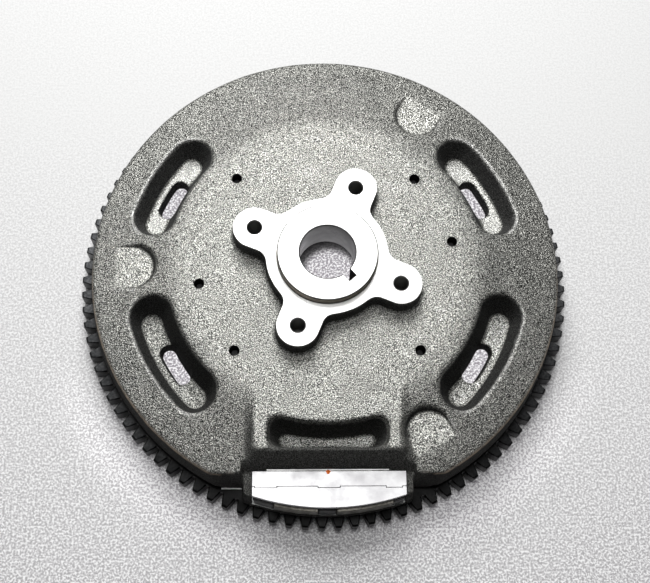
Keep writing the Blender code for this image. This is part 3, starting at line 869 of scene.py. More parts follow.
def ground_metal(name, light, dark, rough, metallic):
    """Milled or ground along X: straight fine marks and small stains."""
    mat = Nodes(name)
    x, y, z = mat.separate()
    streaks = mat.combine(mat.times(x, 60.0), mat.times(y, 3200.0), mat.times(z, 900.0))
    marks = mat.noise(scale=1.0, detail=3.0, rough=0.55, vector=streaks)
    smudge = mat.noise(scale=70.0, detail=4.0, rough=0.65)
    spots = mat.noise(scale=420.0, detail=3.0, rough=0.7)
    colour = mat.mix(mat.ramp(smudge, (0.40, 0.0), (0.80, 1.0)), light, dark)
    stain = mat.ramp(spots, (0.54, 0.0), (0.70, 1.0))
    colour = mat.mix(mat.times(stain, 0.55), colour, dark)
    furrow = mat.ramp(marks, (0.3, 1.0), (0.6, 0.0))
    colour = mat.mix(mat.times(furrow, 0.15), colour, dark)
    gloss = mat.remap(smudge, 0.3, 0.7, *rough)
    bump = mat.bump(marks, strength=0.22, distance=0.00005)
    bump = mat.bump(spots, strength=0.15, distance=0.00008, normal=bump)
    return mat.finish(colour, metallic, gloss, bump)


def dark_steel(name, light, dark, rough, grain=650.0, shade_inside_radius=None):
    """Grainy dark steel; if a radius is given, painted shade makes it black inside that radius,
    under the rim, and darker towards -Y, in the magnet block's shadow.
    """
    mat = Nodes(name)
    fine = mat.noise(scale=grain, detail=3.0, rough=0.6)
    blotch = mat.noise(scale=70.0, detail=4.0, rough=0.6)
    stretch = mat.add("Mapping")
    stretch.inputs["Scale"].default_value = (90.0, 90.0, 2200.0)
    mat.link(mat.coord, stretch.inputs["Vector"])
    scratch = mat.noise(scale=1.0, detail=2.0, rough=0.5, vector=stretch.outputs[0])
    colour = mat.mix(mat.ramp(fine, (0.35, 0.0), (0.72, 1.0)), dark, light)
    # random dark patches in the steel's own colour
    dark_patch = mat.ramp(blotch, (0.45, 0.0), (0.7, 1.0))
    colour = mat.mix(mat.times(dark_patch, 0.4), colour, dark)
    if shade_inside_radius is not None:
        # painted shade: black inside the given radius, under the rim's edge
        ragged = mat.times(mat.math("SUBTRACT", blotch, 0.5), 0.002)
        edge = mat.plus(mat.radius(), ragged)
        root_shade = mat.remap(edge, shade_inside_radius - 0.0008, shade_inside_radius + 0.0012, 0.93, 0.0)
        colour = mat.mix(root_shade, colour, 0.006)
        # painted shadow of the magnet block: darker towards -Y
        _, along, _ = mat.separate()
        colour = mat.mix(mat.remap(along, -0.112, -0.020, 1.0, 0.0), colour, 0.003)
    gloss = mat.remap(blotch, 0.3, 0.7, *rough)
    bump = mat.bump(fine, strength=0.35, distance=0.00016)
    bump = mat.bump(scratch, strength=0.18, distance=0.00008, normal=bump)
    return mat.finish(colour, metallic=0.85, rough=gloss, normal=bump)


def moulded(name, light, dark, rough=(0.42, 0.66), grain=900.0):
    """Non-metal with a fine grain."""
    mat = Nodes(name)
    fine = mat.noise(scale=grain, detail=3.0, rough=0.6)
    blotch = mat.noise(scale=90.0, detail=3.0, rough=0.6)
    colour = mat.mix(mat.ramp(blotch, (0.35, 0.0), (0.7, 1.0)), dark, light)
    fleck = mat.ramp(fine, (0.62, 0.0), (0.78, 1.0))
    colour = mat.mix(mat.times(fleck, 0.35), colour, light)
    gloss = mat.remap(fine, 0.3, 0.7, *rough)
    bump = mat.bump(fine, strength=0.4, distance=0.00012)
    return mat.finish(colour, metallic=0.0, rough=gloss, normal=bump)


IRON = cast_iron()
FACED = turned_metal("cast_iron_faced", light=(0.48, 0.48, 0.47), dark=(0.38, 0.38, 0.37),
                     rough=(0.26, 0.40), lines=5200.0)
BORED = turned_metal("cast_iron_bored", light=(0.34, 0.345, 0.34), dark=(0.16, 0.165, 0.16),
                     rough=(0.24, 0.42))
# painted shade: the walls of the web holes and the keyway are painted near black
TAPPED = turned_metal("tapped_hole", light=0.05, dark=0.02, rough=(0.40, 0.60))
SIDE = turned_metal("boss_side", light=(0.50, 0.43, 0.34), dark=(0.26, 0.22, 0.17),
                    rough=(0.30, 0.45))
# painted shade and reflection: the boss's top chamfer and its foot by the groove are painted dark
GROOVE = turned_metal("boss_edge", light=(0.11, 0.10, 0.085), dark=(0.035, 0.033, 0.03),
                      rough=(0.30, 0.45))
THREAD = turned_metal("fan_thread", light=(0.30, 0.30, 0.29), dark=(0.12, 0.12, 0.115),
                      rough=(0.35, 0.55))
GROUND = ground_metal("ground_steel", light=(0.58, 0.58, 0.582), dark=(0.43, 0.422, 0.435),
                      rough=(0.30, 0.45), metallic=0.45)
# painted highlight: the land and ledge are painted near white and mostly matt, so they show as
# bright lines
LAND = ground_metal("machined_land", light=(0.98, 0.98, 0.97), dark=(0.80, 0.80, 0.78),
                    rough=(0.35, 0.5), metallic=0.25)
# painted shade: the gear is painted black inside r 118.8 mm and darker towards -Y
GEAR = dark_steel("ring_gear_steel", light=(0.074, 0.075, 0.077), dark=(0.015, 0.016, 0.017),
                  rough=(0.32, 0.55), grain=900.0, shade_inside_radius=0.1188)
POLE = dark_steel("pole_steel", light=(0.21, 0.20, 0.175), dark=(0.08, 0.075, 0.065),
                  rough=(0.35, 0.55))
RESIN = moulded("black_resin", light=(0.035, 0.034, 0.033), dark=0.012)
FERRITE = moulded("ferrite", light=(0.075, 0.075, 0.08), dark=(0.03, 0.03, 0.033),
                  rough=(0.45, 0.7), grain=700.0)
BACKIRON = dark_steel("back_iron", light=0.30, dark=0.15, rough=(0.3, 0.5), grain=500.0)
ZINC = turned_metal("zinc_plate", light=(0.70, 0.70, 0.68), dark=(0.50, 0.50, 0.47),
                    rough=(0.25, 0.42), lines=900.0)
# painted shade: the screws' threaded ends, seen down the web holes, are painted near black
SHADED_SCREW_TIP = turned_metal("screw_thread", light=0.014, dark=0.006, rough=(0.5, 0.7), lines=900.0,
                      metallic=0.3)


# ---- casting --------------------------------------------------------------------------------
def casting_blank():
    """The as-cast body, with the slight unevenness of a sand mould."""
    step = 0.8
    triangles = 165000.0
    net, quads = surface_net(cast_body, (-121.6, -121.6, -2.4), (121.6, 121.6, 58.4), step)
    net, normals = settle(cast_body, net)
    wave = 0.055 * value_noise(net, scale=9.0, seed=3) + 0.035 * value_noise(net, 3.6, seed=5)
    blank = net_object("casting", net + normals * wave[:, None], quads)
    thin = blank.modifiers.new("thin", "DECIMATE")
    thin.ratio = min(1.0, triangles / (2 * len(quads)))
    apply_all(blank)
    return blank


def turn_casting(casting):
    """Faces, seat, boss, cavity and bore; every profile is (radius, height)."""
    top = ARM_TOP
    arms = [(0.0, 90.0), (70.0, 90.0), (70.0, top), (0.0, top)]
    carve(casting, turned_solid("c_arms", arms, 48))
    under = [(0.0, 0.0), (140.0, 0.0), (140.0, -12.0), (0.0, -12.0)]
    carve(casting, turned_solid("c_under", under, 64))
    seat_top = gear_high[2] + 0.3
    seat = [(SEAT_R - 0.8, -4.0), (SEAT_R - 0.8, 0.0), (SEAT_R, 0.8), (SEAT_R, seat_top),
            (136.0, seat_top), (136.0, -4.0)]
    carve(casting, turned_ring("c_seat", seat, 240))
    boss = [(0.0, HUB_TOP), (BOSS_R - 0.55, HUB_TOP), (BOSS_R - 0.12, HUB_TOP - 0.2),
            (BOSS_R, HUB_TOP - 0.55), (BOSS_R, top - 4.0), (0.0, top - 4.0)]
    carve(casting, turned_solid("c_boss", boss, 160), "UNION")
    groove = [(BOSS_R - 0.35, top + 0.55), (BOSS_R + 0.3, top + 0.35),
              (BOSS_R + 0.3, top - 0.15), (BOSS_R - 0.35, top - 0.15)]
    carve(casting, turned_ring("c_groove", groove, 160))
    ringline = [(25.75, top + 1.0), (26.05, top + 1.0), (26.05, top - 0.06), (25.75, top - 0.06)]
    carve(casting, turned_ring("c_ringline", ringline, 160))
    cavity = [(0.0, UNDER_Z), (CAVITY_R - 1.4, UNDER_Z), (CAVITY_R, UNDER_Z - 1.4),
              (CAVITY_R, 0.8), (CAVITY_R + 0.8, 0.0), (CAVITY_R + 0.8, -6.0), (0.0, -6.0)]
    carve(casting, turned_solid("c_cavity", cavity, 200))
    bore = [(0.0, 80.0), (BORE_TOP_R + 1.7, 80.0), (BORE_TOP_R + 1.7, HUB_TOP + 1.2),
            (BORE_TOP_R + 0.5, HUB_TOP), (BORE_TOP_R, HUB_TOP - 0.5),
            (BORE_END_R, UNDER_Z + 0.6), (BORE_END_R + 0.6, UNDER_Z),
            (BORE_END_R + 1.6, UNDER_Z - 1.0), (BORE_END_R + 1.6, 20.0), (0.0, 20.0)]
    carve(casting, turned_solid("c_bore", bore, 128))


def cut_keyway(casting):
    outline = [(6.0, -KEY_HALF), (KEY_FLOOR, -KEY_HALF), (KEY_FLOOR, KEY_HALF), (6.0, KEY_HALF)]
    carve(casting, move(plate("c_key", outline, 20.0, 80.0), turn=KEY_ANGLE))


def fan_hole_profile():
    """Tapped hole in an arm: countersunk mouth, thread rings, drill point."""
    radius, bottom, pitch, depth, mouth = 3.38, ARM_TOP - 17.0, 1.25, 0.5, 0.5
    out = [(0.0, ARM_TOP + 6.0), (radius + mouth + 1.0, ARM_TOP + 6.0),
           (radius + mouth + 1.0, ARM_TOP + 1.0), (radius + mouth, ARM_TOP),
           (radius, ARM_TOP - mouth)]
    z = ARM_TOP - mouth - pitch * 0.4
    while z - pitch > bottom + 1.5:
        out += [(radius, z), (radius + depth, z - pitch * 0.5), (radius, z - pitch)]
        z -= pitch
    return out + [(radius - 0.1, z - 0.2), (radius - 0.1, bottom), (0.0, bottom - radius * 0.55)]


def web_hole_profile():
    """Tapped hole through the web for a retainer screw."""
    out = [(0.0, WEB_Z + 5.0), (2.9, WEB_Z + 5.0), (2.9, WEB_Z + 1.0), (2.72, WEB_Z + 0.1),
           (2.55, WEB_Z - 0.15)]
    z = WEB_Z - 0.9
    while z > UNDER_Z + 1.0:
        out += [(2.42, z), (2.72, z - 0.4), (2.42, z - SCREW_PITCH)]
        z -= SCREW_PITCH
    return out + [(2.45, UNDER_Z + 0.4), (2.85, UNDER_Z), (2.85, UNDER_Z - 3.0),
                  (0.0, UNDER_Z - 3.0)]


def drill(obj, name, profile, steps, places):
    """One cut with the same hole at every place."""
    holes = [move(turned_solid("hole", profile, steps), x, y) for x, y in places]
    carve(obj, join(name, holes))


def open_block_seat(casting):
    """The opening for the magnet block, with the small ledge and shelf beside it."""
    y = BLOCK_Y
    outer_y = -124.0
    carve(casting, block("c_block", bar_low[0] - 0.3, bar_high[0] + 0.3, y, outer_y,
                         BLOCK_FLOOR, BLOCK_TOP + 3.2))
    carve(casting, block("c_ledge", -51.2, -41.2, -105.6, -104.9, 12.0, 12.7), "UNION")
    carve(casting, block("c_shelf", -29.6, 29.6, y + 0.02, y + 1.6, 27.0, BLOCK_TOP + 0.5),
          "UNION")
    carve(casting, block("c_land", -29.0, 29.0, y + 0.75, outer_y, BLOCK_TOP, BLOCK_TOP + 5.0))


def vectors(items, name):
    data = np.empty(len(items) * 3, np.float32)
    items.foreach_get(name, data)
    return data.reshape(-1, 3)


def finish_slots(mesh):
    """Material slot of every face, in the order the casting is dressed."""
    cast, faced, bored, tapped, side, thread, land, edge = range(8)
    x, y, z = (vectors(mesh.polygons, "center") / MILLIMETRE).T
    up = vectors(mesh.polygons, "normal")[:, 2]
    off = np.abs(cast_body(*[values.astype(np.float64) for values in (x, y, z)]))
    radius = np.hypot(x, y)
    machined = off > 0.3
    slot = np.full(len(x), cast, np.int32)
    arm_tops = (up > 0.995) & (np.abs(z - ARM_TOP) < 0.02) & (radius < 60)
    slot[machined | arm_tops] = faced
    slot[(radius < 17.5) & (up < 0.9)] = bored
    for hole_x, hole_y in FAN_HOLES + [screw[:2] for screw in SCREWS]:
        near = np.hypot(x - hole_x, y - hole_y) < 4.6
        slot[near & machined & (radius > 30) & (z > 30.0)] = tapped
        slot[near & (np.abs(z - ARM_TOP) < 0.6) & (up > 0.3) & (radius < 45)] = faced
    slot[(z < BLOCK_TOP - 0.05) & (y < -97.0) & machined & (z > BLOCK_FLOOR - 0.1)
         & (np.abs(x) < 40)] = bored
    on_land = ((np.abs(z - BLOCK_TOP) < 0.06) & (y < BLOCK_Y + 0.85) & (y > BLOCK_Y - 0.1)
               & (np.abs(x) < 29.2))
    on_ledge = ((up > 0.5) & (z > 12.3) & (z < 12.75) & (y < -104.85) & (y > -105.7)
                & (x > -53.6) & (x < -41.3))
    slot[on_land | on_ledge] = land
    on_side = ((radius > BOSS_R - 0.62) & (radius < BOSS_R + 0.45) & (z > ARM_TOP - 0.3)
               & (z < HUB_TOP - 0.02))
    slot[on_side] = side
    # the top chamfer and the foot of the boss get the dark painted shade and reflection
    slot[on_side & ((z > HUB_TOP - 0.62) | (z < ARM_TOP + 0.9))] = edge
    along, across = turned_axes(x, y, KEY_ANGLE)
    keyway = ((radius < 20.0) & machined & (np.abs(across) < 2.45) & (along > 12.0)
              & (z < HUB_TOP - 0.01) & (up < 0.5))
    # the keyway's walls get the near-black painted shade
    slot[keyway & (radius > BORE_TOP_R + 0.9 * (HUB_TOP - z) / 24.6 + 0.05)] = tapped
    for hole_x, hole_y in FAN_HOLES:
        slot[(np.hypot(x - hole_x, y - hole_y) < 4.4) & (slot == tapped)] = thread
    slot[(np.abs(z - UNDER_Z) < 0.1) & (up < -0.99)] = faced
    return slot


def curvature(x, y, z):
    """Bend of the cast surface: positive on edges, negative in inside corners."""
    reach = 0.7
    bend = -6.0 * cast_body(x, y, z)
    for axis in range(3):
        for step in (reach, -reach):
            place = [x, y, z]
            place[axis] = place[axis] + step
            bend = bend + cast_body(*place)
    return bend / (reach * reach)


def painted_shade_tint(x, y, z, up, open_top, bend):
    """How much painted shade the surface gets: hollows, walls, corners and the surroundings of
    the block, where shade falls.
    """
    radius, half_x = np.hypot(x, y), np.abs(x)
    steep = fade(0.86 - up, 0.4)
    sheer = fade(0.80 - up, 0.22)
    pocket = fade(open_top - z - 0.35, 1.4) * sheer * (radius < 106.0) * (z > 20.0)
    arm_wall = (steep * ((radius < 52.0) & (z > WEB_Z + 0.6))
                * np.clip((ARM_TOP + 0.4 - z) / 3.0, 0.3, 1.0))
    front = steep * ((y < -92.0) & (half_x < 44.0) & (z > 20.0))
    rim = fade(0.72 - up, 0.3) * (radius > 112.0)
    foot = 1.0 * ((radius > 110.0) & (z < 17.5))
    flat_wall = sheer * ((y < -100.0) & (half_x > 41.0))
    cheek = 0.80 * ((y < -95.0) & (half_x > 35.0) & (half_x < 44.0) & (z < 31.0))
    slot_wall = sheer * ((radius > 78.0) & (radius < 98.0) & (z > 4.0) & (z < 24.6))
    corner = np.clip(-bend * 0.9 - 0.25, 0.0, 1.0) * (z > 30.0)
    low_lip = 0.85 * fade(-89.3 - y, 1.0) * fade(29.5 - half_x, 2.0) * (z > 38.0)
    flank = (0.92 * fade(half_x - 35.0, 1.2) * fade(40.6 - half_x, 2.4)
             * fade(-70.0 - y, 14.0) * (z > 30.0))
    skirt = (0.92 * fade(41.6 - half_x, 0.8)
             * fade(-92.4 - y - 0.5 * np.maximum(half_x - 35.5, 0.0), 0.9) * (z > 30.5))
    crest = fade(-90.2 - y, 1.2) * ((half_x < 37.0) & (z > 31.5)) * fade(0.995 - up, 0.05)
    return np.clip(np.maximum.reduce([
        pocket, arm_wall * 0.9, front * 0.92, rim, foot, flat_wall, cheek, slot_wall,
        corner * 0.8, crest, low_lip, flank, skirt]), 0.0, 1.0)


def wear_and_highlight_tint(x, y, z, open_top, bend):
    """How much bright wear and painted highlight the edges get: shoulder edges, pocket lips, most
    on the +Y side, and the rim's upper edge, more towards -Y.
    """
    radius, half_x = np.hypot(x, y), np.abs(x)
    shoulder = (np.clip(bend * 1.1 - 0.15, 0.0, 1.0) * (z > 14.0) * (radius > 94.0)
                * (z < WEB_Z - 2.0) * ((y >= -86.0) | (half_x > 44.0)))
    lip = np.full(len(x), 99.0)
    wall = POCKET_HALF + (np.minimum(z, open_top) - POCKET_Z) * POCKET_DRAFT
    for angle, half_angle in POCKETS:
        lip = np.minimum(lip, kidney(x, y, POCKET_MID_R, angle, half_angle) - wall)
    lip = (np.clip(1.0 - np.abs(lip - 0.55) / 0.85, 0.0, 1.0) * (radius > 93.0)
           * (z > open_top - 1.3) * np.where(y > 0, 1.0, np.where(x < 0, 0.45, 0.0)))
    rim = (np.clip(bend * 6.0 - 1.0, 0.0, 1.0)
           * np.clip(1.25 - np.abs(z - RIM_Z + 0.4) / 0.8, 0.0, 1.0)
           * fade(15.0 - y, 45.0) * ((y >= -92.0) | (half_x > 45.0)))
    return np.where(radius > 112.0, rim, np.maximum(shoulder * 0.6, lip))


def painted_light_tint(x, y, z, up):
    """Painted light: faces that look up are painted brighter than the walls, pocket floors most
    on the +Y side and in the platform pocket, and the coned shoulder is painted darker than the
    web.
    """
    level = fade(up - 0.93, 0.06)
    floors = level * ((z < POCKET_Z + 2.0) & (z > POCKET_Z - 2.0))
    lit = floors * np.where(y > 0, 1.35, np.where(x < 0, 0.12, 0.80))
    lit = lit + floors * ((np.abs(x) < 32.0) & (y < -70.0)) * 1.7
    web = fade(up - 0.979, 0.014) * (z > WEB_Z - 2.0)
    return lit + web * 0.56 - 0.17 * ((z < WEB_Z - 0.3) & (z > 30.0))


def pad_inset(x, y):
    """Distance inside the flat of the nearest pad, limited to 9 each way."""
    inset = np.full(len(x), -9.0)
    end = (WEB_Z - (PAD_Z + 0.2)) / CONE_SLOPE + CONE_START_R
    for angle in PADS:
        along, across = turned_axes(x, y, angle)
        side = 10.6 - np.hypot(np.minimum(along - PAD_START_R, 0.0), across)
        flat = np.clip(np.minimum(side, end - along), -9.0, 9.0)
        inset = np.maximum(inset, np.where(along > 60.0, flat, -9.0))
    return inset


def add_tints(mesh):
    """Point attributes that the cast iron material reads."""
    x, y, z = (vectors(mesh.vertices, "co").astype(np.float64) / MILLIMETRE).T
    up = vectors(mesh.vertices, "normal")[:, 2]
    open_top = np.minimum(WEB_Z, WEB_Z - (np.hypot(x, y) - CONE_START_R) * CONE_SLOPE)
    bend = curvature(x, y, z)
    # the first three attributes carry painted shade, edge wear with painted highlights, and
    # painted light
    for name, values in (("painted_shade", painted_shade_tint(x, y, z, up, open_top, bend)),
                         ("edge", wear_and_highlight_tint(x, y, z, open_top, bend)),
                         ("lit", painted_light_tint(x, y, z, up)),
                         ("pad", pad_inset(x, y))):
        layer = mesh.attributes.new(name, "FLOAT", "POINT")
        layer.data.foreach_set("value", values.astype(np.float32))


def build_casting():
    casting = casting_blank()
    turn_casting(casting)
    cut_keyway(casting)
    drill(casting, "c_fan_holes", fan_hole_profile(), 40, FAN_HOLES)
    drill(casting, "c_web_holes", web_hole_profile(), 32, [screw[:2] for screw in SCREWS])
    open_block_seat(casting)
    slots = finish_slots(casting.data)
    dress(casting, IRON, FACED, BORED, TAPPED, SIDE, THREAD, LAND, GROOVE)
    casting.data.polygons.foreach_set("material_index", slots)
    add_tints(casting.data)
    mount(casting, "flywheel_casting", crisp=34.0)


# ---- starter ring gear ----------------------------------------------------------------------
TEETH = 96
TOOTH_PHASE = 2.6
ROOT_R = 118.35
# radius, half thickness of a tooth
TOOTH_FLANK = ((118.7, 3.12), (119.6, 2.86), (120.8, 2.58), (122.0, 2.24), (123.2, 1.86),
               (124.05, 1.60), (TIP_R, 1.30))


def tooth_line(inset, tip_drop):
    """Outline of the toothed ring, pulled in by a chamfer."""
    points = []
    pitch = 360.0 / TEETH
    for k in range(TEETH):
        middle = TOOTH_PHASE + pitch * k
        before, after = [], []
        for flank_r, half in TOOTH_FLANK:
            radius = min(flank_r, TIP_R - tip_drop) - (inset * 0.3 if flank_r < 119 else 0.0)
            turn = math.degrees(max(half - inset, 0.2) / flank_r)
            before.append(polar(radius, middle - turn))
            after.append(polar(radius, middle + turn))
        points.append(polar(ROOT_R - inset * 0.3, middle - pitch / 2 + 0.03))
        points += before + list(reversed(after))
    return points


def onto_circle(radius, points, z):
    """The points moved straight in or out onto a circle."""
    angles = [math.atan2(y, x) for x, y in points]
    return [(radius * math.cos(angle), radius * math.sin(angle), z) for angle in angles]


def build_gear():
    low, high = gear_low[2], gear_high[2]
    # height, inset of the outline, drop of the tooth tips
    levels = ((low, 0.35, 0.35), (low + 0.35, 0.0, 0.0), (high - 0.9, 0.0, 0.0),
              (high - 0.35, 0.18, 0.35), (high, 0.5, 0.95))
    loops = [[(x, y, z) for x, y in tooth_line(inset, tip)] for z, inset, tip in levels]
    inner_r, face_r = SEAT_R + 0.3, 117.2
    outline = tooth_line(0.0, 0.0)
    for radius, z in ((face_r, high), (inner_r + 0.5, high), (inner_r, high - 0.5),
                      (inner_r, low + 0.5), (inner_r + 0.5, low), (face_r, low)):
        loops.append(onto_circle(radius, outline, z))
    gear = rings("starter_ring_gear", loops)
    dress(gear, GEAR)
    mount(gear, "ring_gear", crisp=28.0)


# ---- ignition magnet block ------------------------------------------------------------------
SEAM_Y = -107.2                           # joint between the inner bar and the outer cap
SEAM_GAP = 0.12                           # half the joint's width
TABS = ((-34.5, -24.3), (-4.6, 5.6), (27.6, 35.0))    # x from, x to of the joint's steps
TAB_DEPTH = 0.7
TAB_PLAY = 0.25
POLE_Y = -111.0                           # +Y side of the pole shoes and spacers
left, right = bar_low[0], bar_high[0]

SHOE = dict(radius=118.8, steps=24, rounding=0.35, material=POLE, slot="pole_steel")
SPACER = dict(radius=118.3, steps=14, rounding=0.5, material=RESIN, slot="potting")
# object, CAD node, x from, x to, kind
POLES = (
    ("shoe_left", "pole_shoe_left", -25.5, -4.6, SHOE),
    ("shoe_right", "pole_shoe_right", 4.3, 31.3, SHOE),
    ("spacer_left", "pole_spacer_left", left + 0.4, -25.8, SPACER),
    ("spacer_centre", "pole_spacer_centre", -4.3, 4.0, SPACER),
    ("spacer_right", "pole_spacer_right", 31.6, right - 0.4, SPACER),
)


def tab_line(y, tabs):
    """Steps towards -Y in a straight edge, from -X to +X."""
    points = []
    for x0, x1 in tabs:
        points += [(x0, y), (x0, y - TAB_DEPTH), (x1, y - TAB_DEPTH), (x1, y)]
    return points


def sector(x0, x1, inner_y, radius, steps, tabs=()):
    """Outline between a straight edge and the arc of the given radius at -Y."""
    start, end = [math.degrees(math.atan2(-math.sqrt(radius ** 2 - x ** 2), x)) for x in (x0, x1)]
    return (arc_points(radius, start, end, steps) + [(x1, inner_y)]
            + list(reversed(tab_line(inner_y, tabs))) + [(x0, inner_y)])


def block_part(obj, rounding, segments, material, node):
    soften(obj, rounding, segments)
    dress(obj, material)
    mount(obj, node)


def build_magnet_block():
    seam = SEAM_Y + SEAM_GAP
    outline = ([(left, seam)] + tab_line(seam, TABS)
               + [(right, seam), (right, bar_high[1]), (left, bar_high[1])])
    bar = plate("inner_bar", outline, bar_low[2], BLOCK_TOP)
    block_part(bar, 0.10, 2, GROUND, "ignition_inner_bar")

    tabs = [(x0 - TAB_PLAY, x1 + TAB_PLAY) for x0, x1 in TABS]
    outline = sector(left, right, SEAM_Y - SEAM_GAP, radius=117.2, steps=40, tabs=tabs)
    cap = plate("outer_cap", outline, cap_low[2], BLOCK_TOP)
    block_part(cap, 0.12, 2, GROUND, "ignition_outer_cap")

    low, high = mag_low[2], mag_high[2]
    for name, node, x0, x1, kind in POLES:
        part = plate(name, sector(x0, x1, POLE_Y, kind["radius"], kind["steps"]), low, high)
        block_part(part, kind["rounding"], 3, kind["material"], node)
    magnet = block("bar_magnet", -30.0, 30.0, SEAM_Y - 1.1, POLE_Y + 0.3, low, high)
    block_part(magnet, 0.4, 2, FERRITE, "ignition_bar_magnet")


def build_paint_dot():
    """Dot of paint across the joint at the +Y side of the inner bar."""
    centre_x, centre_y = 0.1, bar_high[1] - 0.35
    outline = []
    for i in range(20):
        angle = 2 * math.pi * i / 20
        radius = 1.05 + 0.14 * math.sin(3 * angle + 0.5) + 0.07 * math.sin(5 * angle)
        outline.append((radius * math.cos(angle), radius * 0.95 * math.sin(angle)))
    # height above the block, size of the outline
    levels = ((0.01, 1.0), (0.07, 1.0), (0.13, 0.6))
    loops = [[(centre_x + x * size, centre_y + y * size, BLOCK_TOP + rise) for x, y in outline]
             for rise, size in levels]
    paint = rings("paint_dot", loops, closed=False)
    dress(paint, moulded("orange_paint", light=(1.0, 0.23, 0.010), dark=(0.95, 0.17, 0.008),
                         rough=(0.6, 0.75), grain=1200.0))
    shade(paint, 50.0)
    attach(paint, "root")


# ---- alternator side ------------------------------------------------------------------------
ARC_MAGNETS = 12


def build_back_iron():
    inner_r, outer_r, low, high = 72.9, iron_high[0], iron_low[2], iron_high[2]
    iron = turned_ring("back_iron_ring", [
        (inner_r, high - 0.4), (inner_r + 0.4, high), (outer_r - 0.5, high),
        (outer_r, high - 0.5), (outer_r, low + 0.5), (outer_r - 0.5, low),
        (inner_r + 0.4, low), (inner_r, low + 0.4)], 180)
    dress(iron, BACKIRON)
    mount(iron, "alternator_back_iron", crisp=34.0)


def build_arc_magnets():
    outer_r, inner_r, half, pitch = 72.6, 68.0, 13.5, 360.0 / ARC_MAGNETS
    for n in range(ARC_MAGNETS):
        node = "alternator_magnet_%02d" % (n + 1)
        low, high = box_mm(node)
        start, end = pitch * (n + 0.5) - half, pitch * (n + 0.5) + half
        outline = arc_points(outer_r, start, end, 14) + arc_points(inner_r, end, start, 14)
        part = plate("arc_magnet_%02d" % (n + 1), outline, low[2], high[2])
        block_part(part, 0.6, 2, FERRITE, node)


def build_retainer():
    """Flat ring under the web, drilled for the screws."""
    inner_r, outer_r, low, high = 57.0, 72.4, ret_low[2], ret_high[2]
    retainer = turned_ring("retainer_ring", [
        (inner_r, high - 0.4), (inner_r + 0.4, high), (outer_r - 0.3, high),
        (outer_r, high - 0.3), (outer_r, low + 0.6), (outer_r - 0.6, low),
        (inner_r + 0.4, low), (inner_r, low + 0.4)], 144)
    hole = [(0.0, high + 2.0), (2.6, high + 2.0), (2.6, low + 0.3), (2.9, low),
            (2.9, low - 2.0), (0.0, low - 2.0)]
    drill(retainer, "c_ret_holes", hole, 28, [screw[:2] for screw in SCREWS])
    dress(retainer, ZINC)
    mount(retainer, "magnet_retainer_ring", crisp=30.0)


def screw_profile(low, high):
    """Threaded end up, plain shank, cylindrical head down."""
    head_top = ret_low[2] - 0.3
    z = high - 0.35
    out = [(0.0, high), (1.5, high), (1.75, z)]
    while z - SCREW_PITCH > UNDER_Z + 0.6:
        out += [(2.15, z - 0.4), (1.78, z - SCREW_PITCH)]
        z -= SCREW_PITCH
    return out + [(2.1, z - 0.4), (2.1, head_top), (3.85, head_top), (4.1, head_top - 0.25),
                  (4.1, low + 0.7), (3.9, low + 0.25), (3.5, low), (0.0, low)]


def build_screws():
    for n, (x, y, low, high) in enumerate(SCREWS):
        part = turned_solid("screw_%d" % (n + 1), screw_profile(low, high), 32)
        socket = [(0.0, low + 1.9), (1.8, low + 1.4), (1.8, low - 2.0), (0.0, low - 2.0)]
        carve(part, turned_solid("c_socket", socket, 6))
        move(part, x, y)
        dress(part, ZINC, SHADED_SCREW_TIP)
        # above the web's underside the screw gets the near-black painted shade
        for face in part.data.polygons:
            face.material_index = 1 if face.center.z > (UNDER_Z + 0.2) * MILLIMETRE else 0
        mount(part, "retainer_screw_%d" % (n + 1), crisp=30.0)


# ---- floor ----------------------------------------------------------------------------------
def floor_glow(mat, speckle, along):
    """Painted light: the floor glows where light would get in under the skirt and through the
    bore, and around the rim, lifting the shadow there.
    """
    ring = mat.times(mat.ramp(mat.radius(), (0.060, 0.0), (0.066, 1.0)),
                     mat.ramp(mat.radius(), (0.100, 1.0), (0.108, 0.0)))
    spot = mat.ramp(mat.radius(centre_x=0.0030, centre_y=0.0088), (0.0125, 1.0), (0.0160, 0.0))
    glow = mat.ramp(speckle, (0.42, (0.52, 0.48, 0.53)), (0.50, (0.86, 0.83, 0.88)),
                    (0.58, (1.6, 1.58, 1.6)))
    mat.put(mat.bsdf.inputs["Emission Color"], glow)
    around = mat.ramp(mat.radius(), (0.121, 0.0), (0.127, 0.85), (0.134, 1.0), (0.155, 0.0),
                      ease=True)
    across, _, _ = mat.separate()
    around = mat.times(around, mat.remap(along, -0.088, -0.036, 0.42, 0.0))
    off_middle = mat.math("ABSOLUTE", across)
    around = mat.times(around, mat.remap(off_middle, 0.010, 0.062, 0.25, 1.0))
    inside = mat.times(mat.math("MAXIMUM", ring, spot), 1.22)
    strength = mat.times(mat.plus(inside, around), 0.50)
    mat.put(mat.bsdf.inputs["Emission Strength"], strength)


